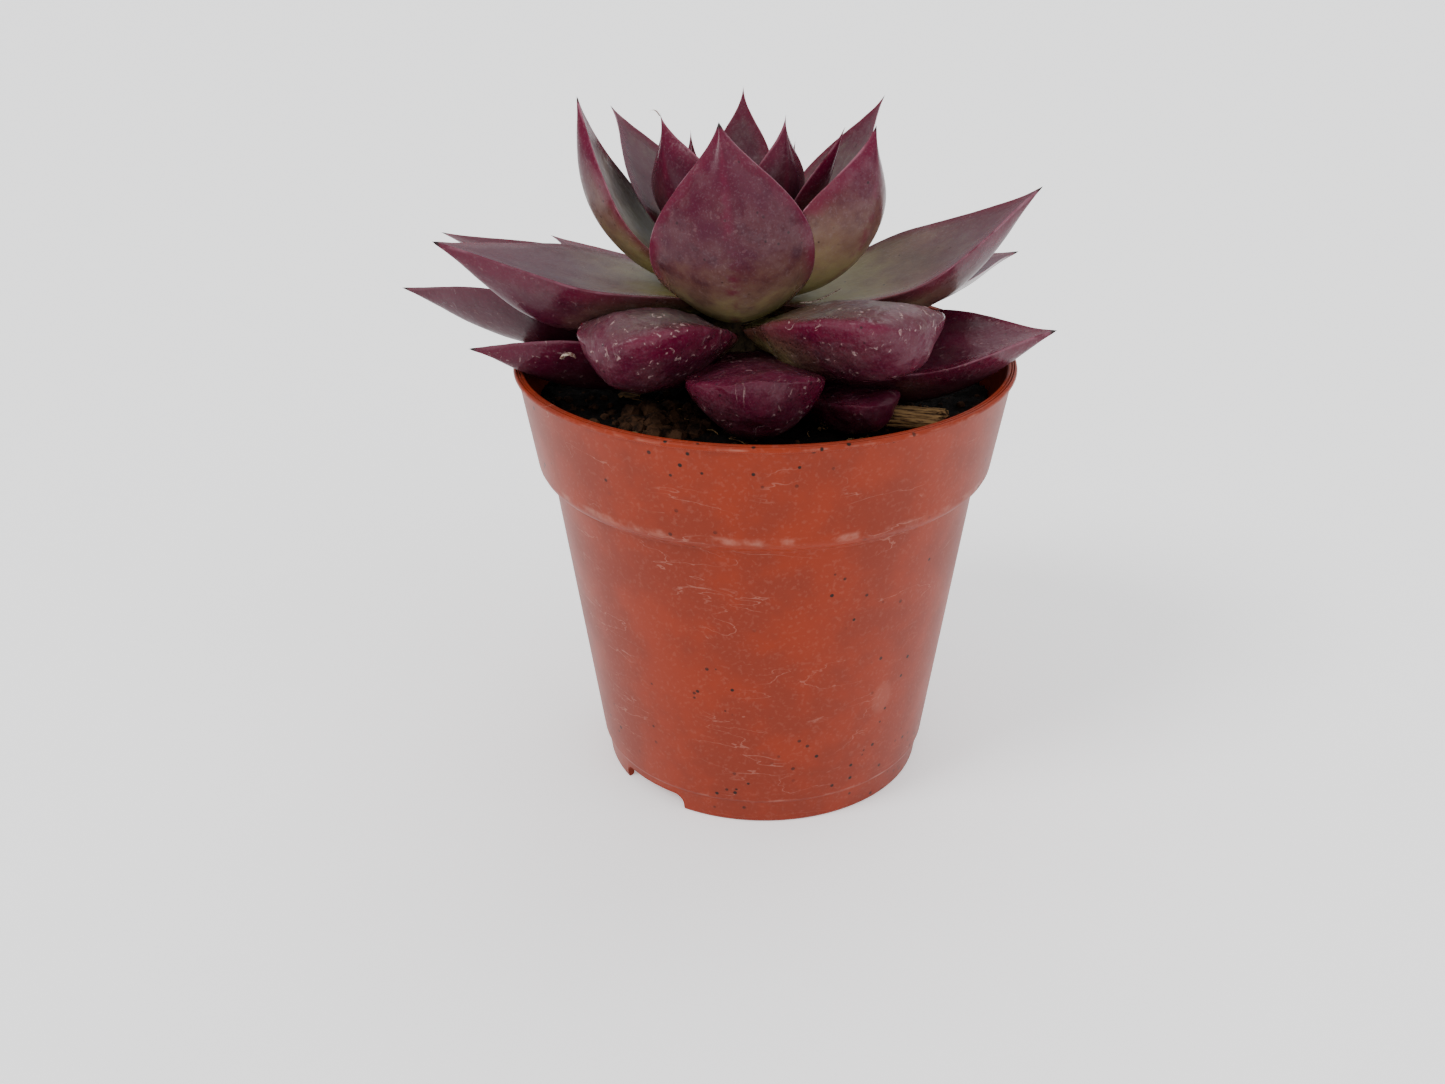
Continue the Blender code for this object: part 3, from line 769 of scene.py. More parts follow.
def form_leaf(mesh, rings, sections, form):
    """Widen, plump and crown a leaf's sections, turn them about its length, lift its end and let it sag."""
    faces = mesh.attributes["leaf_share"].data
    for ring, section in zip(rings, sections):
        along_share = faces[ring[0]].vector[0]
        angle = math.radians(form.turn) * min(1.0, along_share / TURNED_FROM)
        turned = Matrix.Rotation(angle, 3, section.along)
        near_end = max(0.0, (along_share - LIFTED_FROM) / (BLUNT_END_SHARE - LIFTED_FROM))
        moved = section.normal * MM * (form.lift * near_end**3 - form.sag * math.sin(math.pi * along_share))
        for i in ring:
            offset = mesh.vertices[i].co - section.middle
            across = offset.dot(section.side)
            out = offset.dot(section.normal)
            ahead = offset - section.side * across - section.normal * out
            share = faces[i].vector[1]
            if faces[i].vector[2] < 0:
                out *= form.plump
            else:
                out += form.crown * section.half * (1 - share * share)
            offset = section.side * across * form.wide + section.normal * out + ahead
            mesh.vertices[i].co = section.middle + turned @ offset + moved


def shape_ends(mesh, rings, blunt):
    """Scale the rings at tip and foot about their middles, and sink the foot into the stem."""
    for k, scale in TIP_SCALES[blunt] + FOOT_SCALES:
        centre = middle_of(mesh, rings[k])
        for i in rings[k]:
            mesh.vertices[i].co = centre + (mesh.vertices[i].co - centre) * scale
    for i in rings[-1]:
        point = mesh.vertices[i].co
        point.x += (STEM_AXIS.x - point.x) * FOOT_DEPTH
        point.y += (STEM_AXIS.y - point.y) * FOOT_DEPTH


# %% [markdown]
# A subdivision surface pulls its cage's corners in, and a leaf would come out too thin. So the cage is
# pushed out first by what rounding takes away: round a copy, compare each corner with where it was wanted,
# move it by the difference, and do so once more. Creases on the two edge lines and on the tip keep those
# sharp.

# %% Clean up the cage and hold its size
HOLD_ROUNDS = 2
EDGE_CREASE = {False: 0.5, True: 0.08}
FLAT_ENOUGH = math.radians(70)


def open_cap(leaf, foot_ring):
    """Join the flat faces that close a leaf's foot into one face."""
    edit_points(leaf, set(foot_ring))
    bpy.ops.mesh.select_mode(type="FACE")
    bpy.ops.mesh.dissolve_faces()
    close_edit()


def pair_triangles(leaf, ring_of):
    """Join the triangles between two rings into four-sided faces; seams keep the rings themselves apart."""
    for edge in leaf.data.edges:
        first, second = edge.vertices
        edge.use_seam = ring_of[first] == ring_of[second]
    edit_points(leaf, {i for i, ring in ring_of.items() if ring})
    bpy.ops.mesh.tris_convert_to_quads(face_threshold=FLAT_ENOUGH, shape_threshold=FLAT_ENOUGH, seam=True)
    bpy.ops.mesh.select_mode(type="VERT")
    close_edit()


def crease_lines(mesh, lines, value):
    """Crease the edges along these lines of points."""
    crease = mesh.attributes.new("crease_edge", "FLOAT", "EDGE")
    wanted = {frozenset(pair) for line in lines for pair in zip(line, line[1:])}
    for edge in mesh.edges:
        if frozenset(edge.vertices) in wanted:
            crease.data[edge.index].value = value


def hold_size(leaf):
    """Push a cage out by what the subdivision surface takes away."""
    mesh = leaf.data
    wanted = [vertex.co.copy() for vertex in mesh.vertices]
    rounding = leaf.modifiers.new("Rounding", "SUBSURF")
    rounding.levels = 1
    for _ in range(HOLD_ROUNDS):
        mesh.update()
        rounded = leaf.evaluated_get(bpy.context.evaluated_depsgraph_get()).data
        reached = [rounded.vertices[i].co.copy() for i in range(len(wanted))]
        for vertex, place_wanted, place_reached in zip(mesh.vertices, wanted, reached):
            vertex.co += place_wanted - place_reached
    leaf.modifiers.remove(rounding)


# %% Build the leaves
SUBDIVISIONS = 3
UNDULATION = {False: 0.2 * MM, True: 1.1 * MM}
UNDULATION_SIZE = 6

undulation = cloud_texture("leaf_undulation", UNDULATION_SIZE, 2)


def write_mood(mesh, mood):
    """Store a leaf's mood on all its points."""
    colours = mesh.attributes.new("leaf_mood", "FLOAT_VECTOR", "POINT")
    colours.data.foreach_set("vector", mood[:3] * len(mesh.vertices))
    dark = mesh.attributes.new("leaf_dark_and_shade", "FLOAT", "POINT")
    dark.data.foreach_set("value", (mood.dark,) * len(mesh.vertices))


def build_leaf(node_name):
    """Make the fine skin of one leaf from its CAD solid."""
    leaf = welded_copy(node_name, node_name + "_skin")
    mesh = leaf.data
    blunt = node_name in BLUNT_LEAVES
    ring_of, rings = rings_from_tip(mesh)
    open_cap(leaf, rings[-1])
    sections = leaf_sections(mesh, rings)
    length = write_maps(mesh, rings, sections, blunt)
    form_leaf(mesh, rings, sections, LEAF_FORMS.get(node_name, LeafForm()))
    shape_ends(mesh, rings, blunt)
    pair_triangles(leaf, ring_of)
    edge_lines = ([s.low for s in sections], [s.high for s in sections])
    crease_lines(mesh, edge_lines, EDGE_CREASE[blunt])
    if not blunt:
        mesh.attributes.new("crease_vert", "FLOAT", "POINT").data[rings[0][0]].value = 1.0
    hold_size(leaf)
    apply_modifier(leaf, "SUBSURF", levels=SUBDIVISIONS, render_levels=SUBDIVISIONS)
    rough_up(leaf, undulation, UNDULATION[blunt])
    write_mood(mesh, LEAF_MOODS.get(node_name, LeafMood()))
    smooth(leaf)
    finish_piece(leaf, "leaf", leaf_skin, node_name)
    print(leaf.name, "length", round(1000 * length), "mm,", len(mesh.polygons), "faces")


for leaf_name in sorted(name for name in nodes if name.startswith("leaf_")):
    build_leaf(leaf_name)

# %% [markdown]
# ## The pot
# A nursery pot is injection moulded from thin polypropylene. Its lip is turned out flat with fine raised
# lines, a wide collar below it stiffens the rim, and a tapered body ends in a small foot. A lathe shape
# like this can be spun or extruded ring by ring. Extruding shows each step: a circle is pulled up or down
# and scaled about the pot's axis.
#
# The plastic is a dull satin terracotta. Handling leaves pale wavy scratches on it, scuffs gather along the
# collar's lower edge, and damp peat has dried on it as small dark specks. A thin pale line painted along the
# lip's outer edge stands in for its highlight. The scratches are one level line of a noise that is squeezed
# in height, so that they run round the pot.

# %% Pot colours and wear
TERRACOTTA = "#822a12"
TERRACOTTA_DULL = "#752816"
SCUFF_AND_HIGHLIGHT_COLOUR = "#b98677"
DRIED_PEAT = "#1c100b"
COLLAR_FOOT = 73.2 * MM
FOOT_LINE = 6.3 * MM
LIP_HIGHLIGHT_LINE = 93.4 * MM
# Pale bands: scuffs at the collar's foot and the foot line, and a painted highlight along the lip's outer
# edge.
SCUFF_AND_HIGHLIGHT_BANDS = ((COLLAR_FOOT, 1.3 * MM), (FOOT_LINE, 0.5 * MM), (LIP_HIGHLIGHT_LINE, 0.3 * MM))
BAND_CORE = 0.2
SCRATCH_SPACING = 26
DRIED_SPACING = 3.0
STAIN_PLACE = (35.5 * MM, -31.9 * MM, 29.0 * MM)
STAIN_SIZE = (3.2 * MM, 3.2 * MM, 5.0 * MM)


def paint_scratches(plastic, spot, body):
    """Draw pale wavy scratches that run round the pot."""
    squeezed = add(plastic, "Mapping", {"Vector": spot, "Scale": (1.0, 1.0, 4.0)})
    level = add(plastic, "TexNoise", {"Vector": squeezed, "Scale": per(SCRATCH_SPACING), "Detail": 4.0,
                                      "Distortion": 0.4})
    on_line = add(plastic, "Math", [level, 0.5, 0.004], operation="COMPARE")
    rare = find_patches(plastic, spot, 17, 1.0, 0.5, 0.62, 0.22)
    return lay_where(plastic, body, SCUFF_AND_HIGHLIGHT_COLOUR, on_line, rare)


def paint_scuffs_and_lip_highlight(plastic, spot, body):
    """Lay broken pale bands round the pot: scuffs at rubbed edges and a painted highlight along the lip."""
    height = add(plastic, "SeparateXYZ", {"Vector": spot}, out=2)
    broken = find_patches(plastic, spot, 5, 4.0, 0.46, 0.7, 0.3)
    for at, half_width in SCUFF_AND_HIGHLIGHT_BANDS:
        distance = add(plastic, "Math", [height, at], operation="SUBTRACT")
        distance = add(plastic, "Math", [distance], operation="ABSOLUTE")
        near = add(plastic, "MapRange", [distance, half_width, BAND_CORE * half_width], **SMOOTH)
        body = lay_where(plastic, body, SCUFF_AND_HIGHLIGHT_COLOUR, near, broken)
    return body


def paint_stain(plastic, spot, body):
    """Leave one pale oval at the front right, where a drop of hard water dried."""
    from_middle = add(plastic, "Mapping", {"Vector": spot, "Location": STAIN_PLACE, "Scale": STAIN_SIZE},
                      vector_type="TEXTURE")
    reach = add(plastic, "VectorMath", {0: from_middle}, operation="LENGTH", out=1)
    return lay_over(plastic, body, SCUFF_AND_HIGHLIGHT_COLOUR, reach, 1.0, 0.6, 0.09)


def paint_dried_peat(plastic, spot, body):
    """Scatter small specks of dried peat, in loose clusters."""
    grains = add(plastic, "TexVoronoi", {"Vector": spot, "Scale": per(DRIED_SPACING)})
    grains = add(plastic, "MapRange", [grains, 0.17, 0.11], **SMOOTH)
    cluster = find_patches(plastic, spot, 22, 2.0, 0.5, 0.6)
    return lay_where(plastic, body, DRIED_PEAT, grains, cluster)


# %% Pot material
POT_CLOUDS = 16
POT_GRAIN = 0.8
POT_GLOSS = (1.49, 0.14)


def make_pot_plastic():
    """Moulded terracotta-coloured polypropylene: a satin surface with a soft, wide highlight."""
    plastic = new_material("terracotta polypropylene")
    spot = add(plastic, "TexCoord", out=3)
    cloudy = add(plastic, "TexNoise", {"Vector": spot, "Scale": per(POT_CLOUDS), "Detail": 4.0,
                                       "Roughness": 0.6})
    fine = add(plastic, "TexNoise", {"Vector": spot, "Scale": per(POT_GRAIN), "Detail": 2.0})
    body = lay_over(plastic, TERRACOTTA, TERRACOTTA_DULL, cloudy, 0.38, 0.62)
    body = lay_over(plastic, body, SCUFF_AND_HIGHLIGHT_COLOUR, fine, 0.52, 0.72, 0.07)
    for paint in (paint_scratches, paint_scuffs_and_lip_highlight, paint_stain, paint_dried_peat):
        body = paint(plastic, spot, body)
    rough = add(plastic, "MapRange", [cloudy, 0.0, 1.0, 0.36, 0.5])
    return end_material(plastic, body, rough, POT_GLOSS, ((fine, 0.1, 0.1),))


pot_plastic = make_pot_plastic()

# %% [markdown]
# The outline gives radius and height in millimetres, from the floor's top up the inside, over the lip with
# its raised lines, down the collar, the shoulder and the body to the foot, and back under the floor.

# %% Pot outline
POT_SIDES = 192
POT_OUTLINE = (
    (34.2, 5.4), (35.3, 6.0), (35.9, 7.4), (44.3, 69.8), (47.4, 73.4), (50.3, 91.8), (50.4, 93.2),
    (50.6, 93.8), (50.9, 94.0), (51.2, 93.97), (51.35, 93.6), (51.5, 93.97), (51.7, 93.9), (51.8, 93.45),
    (51.95, 93.88),
    (52.2, 93.8), (52.42, 93.55), (52.5, 93.2), (52.4, 92.95), (52.1, 92.8), (51.8, 92.7), (51.65, 92.4),
    (48.5, 73.2), (48.36, 72.6), (47.9, 71.7), (47.1, 70.9), (46.2, 70.35), (45.6, 70.0), (45.42, 69.5),
    (37.0, 6.6), (36.85, 6.15), (36.5, 5.85), (36.3, 5.4),
    (35.7, 0.7), (35.55, 0.25), (35.2, 0.0), (34.6, 0.0), (34.2, 0.2), (34.1, 0.6), (34.6, 4.2),
)


def build_pot():
    """Extrude the pot's outline ring by ring, from the floor's top over the lip and down to its underside."""
    radius, height = POT_OUTLINE[0]
    pot = start_piece("circle", "pot_shell", vertices=POT_SIDES, radius=radius * MM, fill_type="NGON",
                      location=POT_AXIS + UP * height * MM)
    bpy.ops.object.transform_apply(location=True, rotation=True, scale=True)
    edit_all(pot)
    bpy.ops.mesh.select_mode(type="EDGE")
    bpy.ops.mesh.region_to_loop()
    for next_radius, next_height in POT_OUTLINE[1:]:
        bpy.ops.mesh.extrude_edges_move(TRANSFORM_OT_translate={"value": (0, 0, (next_height - height) * MM)})
        wider = next_radius / radius
        bpy.ops.transform.resize(value=(wider, wider, 1), center_override=POT_AXIS)
        radius, height = next_radius, next_height
    bpy.ops.mesh.edge_face_add()
    close_outward()
    return pot


pot_shell = build_pot()

# %% [markdown]
# The drain holes and the two notches in the foot are punched. A Boolean with a cylinder or a rounded block
# does the same: the cutter is made at its place, used once, and thrown away. All sizes are in millimetres.

# %% Drain holes and notches
DRAIN_RADIUS = 2.6
DRAIN_RING_RADIUS = 22
DRAIN_COUNT = 6
DRAIN_SIDES = 32
DRAIN_DEPTH = 6
FLOOR_MIDDLE = 4.8
NOTCH_WIDTH = 18
NOTCH_HEIGHT = 3.8
NOTCH_DEPTH = 10
NOTCH_ROUNDING = 2.2
NOTCH_RING_RADIUS = 35
NOTCH_AZIMUTHS = (-43, 137)
SHARP_ANGLE = math.radians(40)


def cut_from_pot(cutter):
    """Cut one object out of the pot and throw the cutter away."""
    apply_modifier(pot_shell, "BOOLEAN", object=cutter, operation="DIFFERENCE", solver="EXACT")
    bpy.data.objects.remove(cutter)


def drill(place):
    """Cut a round drain hole through the pot's floor."""
    cutter = start_piece("cylinder", "drain_cutter", vertices=DRAIN_SIDES, radius=DRAIN_RADIUS * MM,
                         depth=DRAIN_DEPTH * MM, location=place)
    cut_from_pot(cutter)


def notch(azimuth):
    """Cut a round-cornered notch into the foot, at an angle from the front."""
    angle = math.radians(azimuth)
    way = Vector((math.sin(angle), -math.cos(angle), 0))
    cutter = start_piece("cube", "notch_cutter", size=1, location=POT_AXIS + way * NOTCH_RING_RADIUS * MM,
                         rotation=(0, 0, angle))
    cutter.scale = (NOTCH_WIDTH * MM, NOTCH_DEPTH * MM, 2 * NOTCH_HEIGHT * MM)
    bpy.ops.object.transform_apply(location=False, rotation=False, scale=True)
    apply_modifier(cutter, "BEVEL", width=NOTCH_ROUNDING * MM, segments=8, limit_method="ANGLE")
    cut_from_pot(cutter)


drill(POT_AXIS + UP * FLOOR_MIDDLE * MM)
for hole in range(DRAIN_COUNT):
    turn_angle = math.radians(360 * hole / DRAIN_COUNT)
    ring_way = Vector((math.cos(turn_angle), math.sin(turn_angle), 0))
    drill(POT_AXIS + ring_way * DRAIN_RING_RADIUS * MM + UP * FLOOR_MIDDLE * MM)
for notch_azimuth in NOTCH_AZIMUTHS:
    notch(notch_azimuth)
pick(pot_shell)
bpy.ops.object.shade_smooth_by_angle(angle=SHARP_ANGLE)
finish_piece(pot_shell, "pot", pot_plastic, "pot")
print("pot faces:", len(pot_shell.data.polygons))

# %% [markdown]
# ## The soil
# The pot is filled with black peat, with crumbs and brown fibres in it. The CAD block gives its place. Its
# top was drawn in rings, which would show as spokes, so the block is first remeshed into even faces and its
# top smoothed. Two cloud textures then rough it up again at the size of clods and of grains.

# %% Soil material
PEAT_BLACK = "#0a0706"
PEAT_CRUMB = "#291a12"
PEAT_FIBRE = "#4a2a1a"
PEAT_GLOSS = (1.4, 0.2)


def make_peat():
    """Damp black peat: dull and nearly black, with browner crumbs and a few reddish fibres."""
    peat = new_material("damp black peat")
    spot = add(peat, "TexCoord", out=3)
    crumbs = add(peat, "TexNoise", {"Vector": spot, "Scale": per(1.1), "Detail": 5.0, "Roughness": 0.7})
    body = lay_over(peat, PEAT_BLACK, PEAT_CRUMB, crumbs, 0.5, 0.75)
    fibres = add(peat, "TexNoise", {"Vector": spot, "Scale": per(2.5), "Detail": 3.0, "Distortion": 2.0})
    body = lay_over(peat, body, PEAT_FIBRE, fibres, 0.66, 0.74, 0.5)
    return end_material(peat, body, 0.9, PEAT_GLOSS, ((crumbs, 0.9, 0.6),))


black_peat = make_peat()

# %% Soil surface
SOIL_VOXEL = 0.8 * MM
SOIL_CRUST_DEPTH = 7 * MM
SOIL_TOP_SLOPE = 0.3
SOIL_SMOOTHING = {"factor": 0.5, "repeat": 40}
soil_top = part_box("soil")[1].z
clods = cloud_texture("soil_clods", 3.6, 3)
grains = cloud_texture("soil_grains", 1.1, 1)


def build_soil():
    """Remesh the soil block evenly, smooth its top and rough it up again at the size of clods and grains."""
    soil = welded_copy("soil", "peat")
    apply_modifier(soil, "REMESH", mode="VOXEL", voxel_size=SOIL_VOXEL)
    top = {i for face in soil.data.polygons
           if face.normal.z > SOIL_TOP_SLOPE and face.center.z > soil_top - SOIL_CRUST_DEPTH
           for i in face.vertices}
    soil.vertex_groups.new(name="crust").add(list(top), 1.0, "REPLACE")
    edit_points(soil, top)
    bpy.ops.mesh.vertices_smooth(**SOIL_SMOOTHING)
    close_edit()
    rough_up(soil, clods, 2.6 * MM, 0.6, vertex_group="crust")
    rough_up(soil, grains, 0.9 * MM, vertex_group="crust")
    smooth(soil)
    finish_piece(soil, "soil", black_peat, "soil")
    return soil


peat_block = build_soil()
print("soil faces:", len(peat_block.data.polygons))

# %% [markdown]
# Loose crumbs, brown fibres and a few bark flakes lie on the soil, more of them in a brown heap at the
# front left. Each kind is modelled once and then copied. Each copy is turned, sized and dropped onto the
# soil at a random place. A ray cast straight down finds the height there. The random numbers are seeded, so
# the soil comes out the same every time.

# %% Scatter copies over the soil
SOIL_RADIUS = 46 * MM
HEAP_PLACE = POT_AXIS + Vector((-20 * MM, -13 * MM, 0))
HEAP_REACH = 9 * MM
ABOVE_SOIL = 20 * MM
SEED = 11

random.seed(SEED)


def soil_height(x, y):
    """The height of the soil's surface at a place, or None where there is none."""
    hit, spot, _, _ = peat_block.ray_cast(Vector((x, y, soil_top + ABOVE_SOIL)), -UP)
    return spot.z if hit else None


def scatter(model, count, sizes, tilt, reach=SOIL_RADIUS, middle=POT_AXIS):
    """Lay turned and sized copies of a model on the soil, within reach of the middle, and return them."""
    copies = []
    for _ in range(count):
        angle = random.uniform(0, 2 * math.pi)
        radius = reach * math.sqrt(random.random())
        x = middle.x + radius * math.cos(angle)
        y = middle.y + radius * math.sin(angle)
        height = soil_height(x, y)
        if height is None:
            continue
        turned = Matrix.Rotation(random.uniform(0, 2 * math.pi), 4, "Z")
        turned = turned @ Matrix.Rotation(random.uniform(-tilt, tilt), 4, "X")
        size = random.uniform(*sizes)
        copy = put_in_scene(model.name, model.data.copy())
        copy.matrix_world = Matrix.Translation((x, y, height)) @ turned @ Matrix.Scale(size, 4)
        copies.append(copy)
    return copies


def finish_litter(model, copies, name, slot_name, material):
    """Join the copies into one piece, throw the model away and finish the piece."""
    bpy.ops.object.select_all(action="DESELECT")
    for copy in copies:
        copy.select_set(True)
    bpy.context.view_layer.objects.active = copies[0]
    bpy.ops.object.join()
    bpy.ops.object.transform_apply(location=True, rotation=True, scale=True)
    copies[0].name = name
    bpy.data.objects.remove(model)
    finish_piece(copies[0], slot_name, material)
    print(name, "faces:", len(copies[0].data.polygons))


# %% [markdown]
# One crumb is modelled from a cube: subdividing it with some randomness makes it lumpy.

# %% Crumbs
CRUMB_COUNT = 420
CRUMB_SIZES = (0.35, 1.3)
HEAP_COUNT = 80
HEAP_SIZES = (0.8, 2.8)
BROWN_PEAT_DARK = "#160d08"
BROWN_PEAT = "#4e3423"


def model_crumb():
    """Make one lumpy crumb, a millimetre across, from a cube."""
    crumb = start_piece("cube", "crumb", size=1 * MM)
    edit_all(crumb)
    bpy.ops.mesh.subdivide(number_cuts=1, smoothness=0.7, fractal=1.2, fractal_along_normal=0.3, seed=3)
    close_edit()
    return crumb


def make_brown_peat():
    """Drier peat: crumbs between black and a dull reddish brown."""
    brown = new_material("dry brown peat")
    spot = add(brown, "TexCoord", out=3)
    clumps = add(brown, "TexNoise", {"Vector": spot, "Scale": per(3), "Detail": 4.0, "Roughness": 0.7})
    body = lay_over(brown, BROWN_PEAT_DARK, BROWN_PEAT, clumps, 0.35, 0.65)
    return end_material(brown, body, 0.9, PEAT_GLOSS, ((clumps, 0.6, 0.3),))


crumb = model_crumb()
crumb_copies = scatter(crumb, CRUMB_COUNT, CRUMB_SIZES, math.pi)
crumb_copies += scatter(crumb, HEAP_COUNT, HEAP_SIZES, math.pi, HEAP_REACH, HEAP_PLACE)
finish_litter(crumb, crumb_copies, "peat_crumbs", "soil", make_brown_peat())

# %% [markdown]
# A fibre is a thin square thread that is extruded in steps, each a little to one side, so that it bends.
# Flakes of bark are crumbs that were flattened. Both are dry wood, whose fibres run along the bark stub
# that comes next.

# %% Dry wood
GRAIN_TURN = math.radians(-14)
GRAIN_STRETCH = (9, 1, 1)
WOOD_GAP = "#372213"
WOOD_TAN = "#ac875a"


def make_dry_wood():
    """Dry weathered wood and bark: tan fibres with dark gaps between them."""
    wood = new_material("dry weathered wood")
    spot = add(wood, "TexCoord", out=3)
    grain = add(wood, "Mapping", {"Vector": spot, "Rotation": (0, 0, GRAIN_TURN), "Scale": GRAIN_STRETCH},
                vector_type="TEXTURE")
    fibres = add(wood, "TexNoise", {"Vector": grain, "Scale": per(0.5), "Detail": 4.0, "Roughness": 0.6})
    body = lay_over(wood, WOOD_GAP, WOOD_TAN, fibres, 0.36, 0.62)
    return end_material(wood, body, 0.85, (1.5, 0.25), ((fibres, 0.8, 0.4),))


dry_wood = make_dry_wood()

# %% Fibres and flakes
FIBRE_RADIUS = 0.11 * MM
FIBRE_STEPS = ((0.0, 0.1), (0.25, 0.1), (0.5, -0.05), (0.3, -0.1), (-0.2, -0.05), (-0.5, 0.1))
FIBRE_STEP = 0.9 * MM
FIBRE_END = 0.4
FIBRE_COUNT = 70
FIBRE_REACH = 40 * MM
HEAP_FIBRES = 24
FLAKE_COUNT = 26
FLAKE_FORM = (1.6, 1.0, 0.35)


def model_fibre():
    """Make one bent thread from a small square, extruded step by step along X."""
    fibre = start_piece("circle", "fibre", vertices=4, radius=FIBRE_RADIUS, fill_type="NGON",
                        rotation=(0, math.radians(90), 0))
    bpy.ops.object.transform_apply(rotation=True)
    edit_all(fibre)
    for sideways, upwards in FIBRE_STEPS:
        step = (FIBRE_STEP, sideways * FIBRE_STEP, upwards * FIBRE_STEP)
        bpy.ops.mesh.extrude_region_move(TRANSFORM_OT_translate={"value": step})
    bpy.ops.transform.resize(value=(FIBRE_END,) * 3)
    close_outward()
    return fibre


def model_flake():
    """Flatten a crumb into a flake."""
    flake = model_crumb()
    edit_all(flake)
    bpy.ops.transform.resize(value=FLAKE_FORM)
    close_edit()
    return flake


fibre = model_fibre()
fibre_copies = scatter(fibre, FIBRE_COUNT, (0.5, 1.3), 0.3, FIBRE_REACH)
fibre_copies += scatter(fibre, HEAP_FIBRES, (0.6, 1.4), 0.6, HEAP_REACH, HEAP_PLACE)
finish_litter(fibre, fibre_copies, "peat_fibres", "bark", dry_wood)
flake = model_flake()
finish_litter(flake, scatter(flake, FLAKE_COUNT, (0.9, 2.2), 0.5), "bark_flakes", "bark", dry_wood)

# %% [markdown]
# ## The bark stub
# One dry stub of wood lies on the soil at the front right, split along its fibres. Long splits are hard to
# displace, because a cloud texture is as long as it is wide. So a short, thick cylinder is roughed up first
# and stretched afterwards, which draws the clouds out into fibres.

# %% Bark stub
BARK_LENGTH = 13.0 * MM
BARK_RADIUS = 2.7 * MM
BARK_SIDES = 40
BARK_END_INSET = 0.35
BARK_FLATNESS = 0.85
BARK_TURN = math.radians(76)
BARK_STRETCH = 6

splits = cloud_texture("bark_splits", 0.8, 2)


def build_bark():
    """Rough up a short cylinder, stretch it along its fibres, and lay it where the CAD chip is."""
    low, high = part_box("bark_chip")
    bark = start_piece("cylinder", "bark_stub", vertices=BARK_SIDES, radius=BARK_RADIUS,
                       depth=BARK_LENGTH / BARK_STRETCH)
    edit_all(bark)
    bpy.ops.mesh.inset(thickness=BARK_END_INSET * BARK_RADIUS)
    close_edit()
    apply_modifier(bark, "SUBSURF", levels=2, render_levels=2, subdivision_type="SIMPLE")
    rough_up(bark, splits, 1.3 * MM, 0.65)
    edit_all(bark)
    bpy.ops.transform.resize(value=(1, BARK_FLATNESS, BARK_STRETCH), center_override=(0, 0, 0))
    close_edit()
    lying = Matrix.Rotation(BARK_TURN, 4, "Z") @ Matrix.Rotation(math.radians(90), 4, "X")
    bark.matrix_world = Matrix.Translation((low + high) / 2) @ lying
    smooth(bark)
    bpy.ops.object.transform_apply(location=True, rotation=True, scale=True)
    finish_piece(bark, "bark", dry_wood, "bark_chip")
    print("bark faces:", len(bark.data.polygons))


build_bark()

# %% [markdown]
# ## Papery scraps
# Three dry scraps cling to the plant: skin that tore off between two leaf feet, the husk of a small leaf
# that dried up, and a wisp at one leaf's tip. Each is a flat six-sided ring that is extruded along a bent
# line and ends almost in a point. They are as pale as old paper, because dry leaf skin has lost its
# colours. Radius and line are in millimetres, the line in the same frame as the CAD model.

# %% Scraps
Scrap = namedtuple("Scrap", "radius flatness line")
SCRAPS = {
    "torn_skin": Scrap(0.5, 0.4, ((17.2, -13.6, 109.0), (19.6, -13.4, 108.9), (21.4, -13.4, 109.5),
                                  (23.6, -14.0, 110.9), (26.2, -14.4, 112.4))),
    "dried_husk": Scrap(1.0, 0.45, ((-29.8, -19.6, 99.2), (-28.9, -20.2, 100.4), (-27.6, -20.4, 100.6),
                                    (-26.7, -20.6, 99.6))),
    "tip_wisp": Scrap(0.16, 1.0, ((-9.7, -9.3, 144.3), (-10.2, -9.4, 145.3), (-11.0, -9.4, 145.7),
                                  (-11.8, -9.5, 145.2))),
}
SCRAP_END = 0.25
SCRAP_BROWN = "#6a463c"
SCRAP_CREAM = "#b5a596"


def make_dry_skin():
    """Dead leaf skin: thin papery tissue from cream to a pinkish brown."""
    papery = new_material("papery dead leaf skin")
    spot = add(papery, "TexCoord", out=3)
    wrinkles = add(papery, "TexNoise", {"Vector": spot, "Scale": per(0.6), "Detail": 3.0, "Roughness": 0.6})
    body = lay_over(papery, SCRAP_BROWN, SCRAP_CREAM, wrinkles, 0.38, 0.6)
    return end_material(papery, body, 0.7, (1.45, 0.25), ((wrinkles, 0.5, 0.2),))


dry_skin = make_dry_skin()


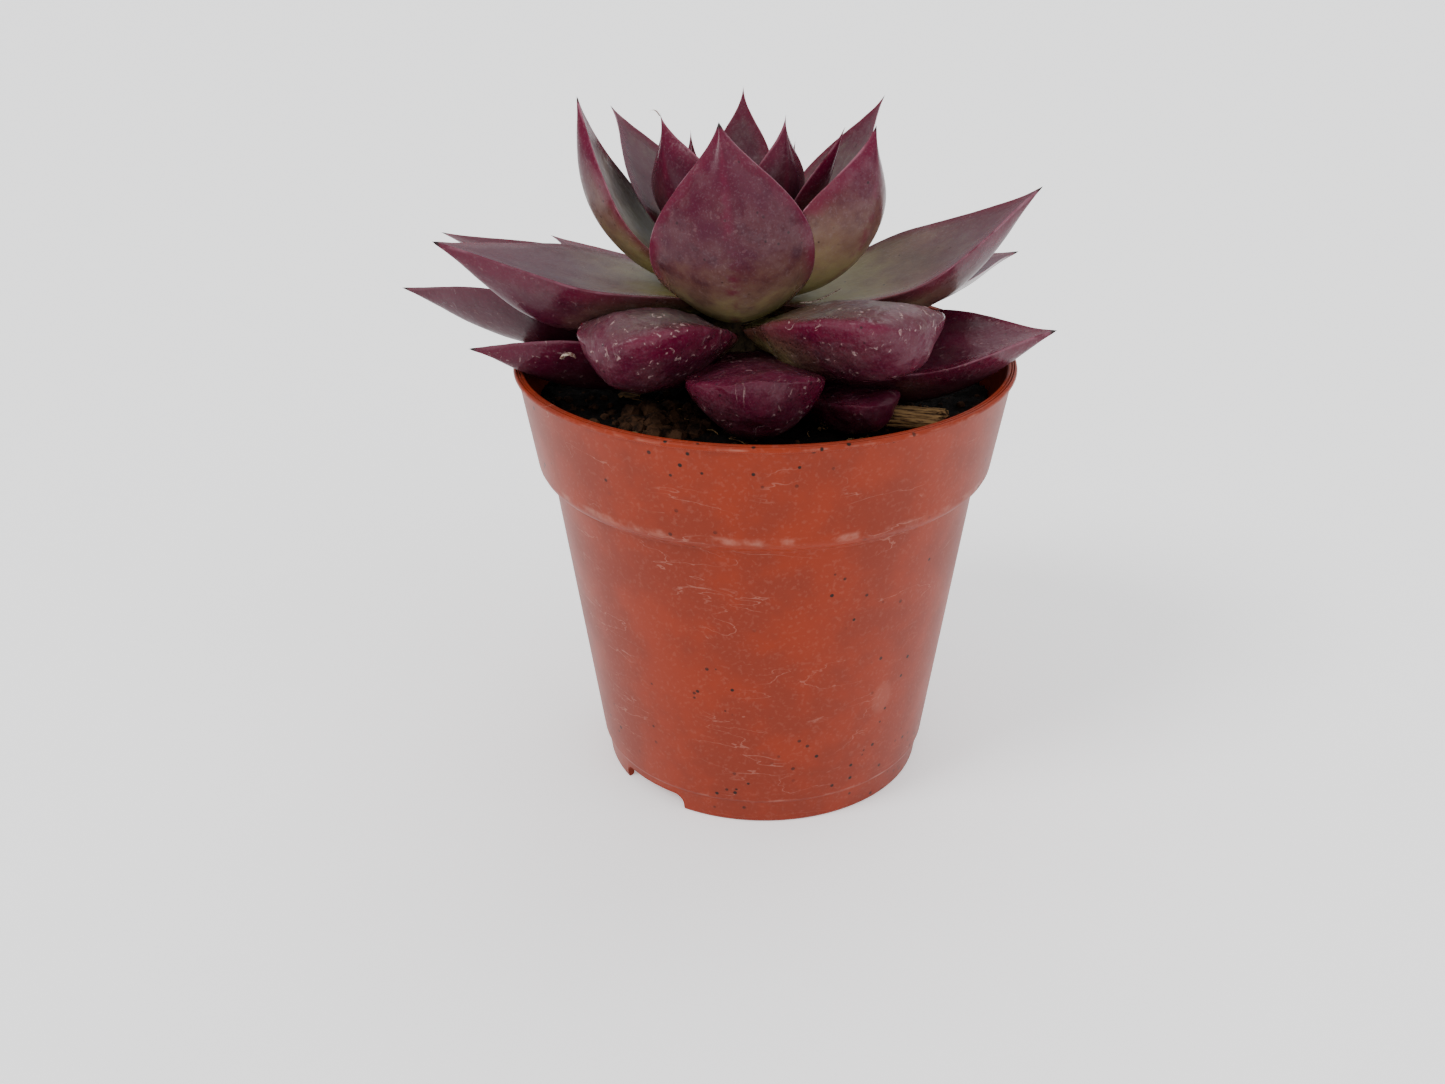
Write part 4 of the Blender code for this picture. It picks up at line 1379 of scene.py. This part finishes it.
def build_scrap(name, scrap):
    """Extrude a flat ring along the scrap's line, and narrow its far end."""
    line = [Vector(point) * MM for point in scrap.line]
    turned = (line[1] - line[0]).to_track_quat("Z", "Y").to_euler()
    piece = start_piece("circle", name, vertices=6, radius=scrap.radius * MM, fill_type="NGON",
                        location=line[0], rotation=turned)
    piece.scale.y = scrap.flatness
    bpy.ops.object.transform_apply(location=True, rotation=True, scale=True)
    edit_all(piece)
    for start, end in zip(line, line[1:]):
        bpy.ops.mesh.extrude_region_move(TRANSFORM_OT_translate={"value": end - start})
    bpy.ops.transform.resize(value=(SCRAP_END,) * 3, center_override=line[-1])
    close_outward()
    apply_modifier(piece, "SUBSURF", levels=2, render_levels=2)
    smooth(piece)
    finish_piece(piece, "leaf", dry_skin)
    print(name, "faces:", len(piece.data.polygons))


for scrap_name, scrap_form in SCRAPS.items():
    build_scrap(scrap_name, scrap_form)

# %% [markdown]
# ## The stem
# The short stem shows only in gaps between the leaves. It is green and smooth where it is young, at the
# top, and corky brown near the soil. Among the leaves it swells, because each leaf joins it with a broad
# foot, and its end narrows to the bud that new leaves grow from.

# %% Stem material
STEM_GREEN_FROM = 102 * MM
STEM_GREEN_ABOVE = 110 * MM
CORK_DARK = "#2c1f14"
CORK_PALE = "#54452c"
STEM_GREEN_DARK = "#4b4a28"
STEM_GREEN_PALE = "#77773f"


def make_stem_skin():
    """Stem skin: dull brown cork below and a smooth dark green above."""
    cork = new_material("corky green stem")
    spot = add(cork, "TexCoord", out=3)
    height = add(cork, "SeparateXYZ", {"Vector": spot}, out=2)
    cracks = add(cork, "TexNoise", {"Vector": spot, "Scale": per(1.5), "Detail": 5.0, "Roughness": 0.65})
    brown = lay_over(cork, CORK_DARK, CORK_PALE, cracks, 0.35, 0.65)
    green = lay_over(cork, STEM_GREEN_DARK, STEM_GREEN_PALE, cracks, 0.35, 0.65)
    body = lay_over(cork, brown, green, height, STEM_GREEN_FROM, STEM_GREEN_ABOVE)
    return end_material(cork, body, 0.7, (1.45, 0.3), ((cracks, 0.4, 0.3),))


# %% Stem
STEM_SHAPING = ((90 * MM, 1.45), (114 * MM, 0.45))

stem = welded_copy("stem", "stem_skin")
for start, scale in STEM_SHAPING:
    edit_points(stem, {vertex.index for vertex in stem.data.vertices if vertex.co.z > start})
    bpy.ops.transform.resize(value=(scale, scale, 1), center_override=STEM_AXIS)
    close_edit()
apply_modifier(stem, "SUBSURF", levels=2, render_levels=2)
smooth(stem)
finish_piece(stem, "stem", make_stem_skin(), "stem")
print("stem faces:", len(stem.data.polygons))
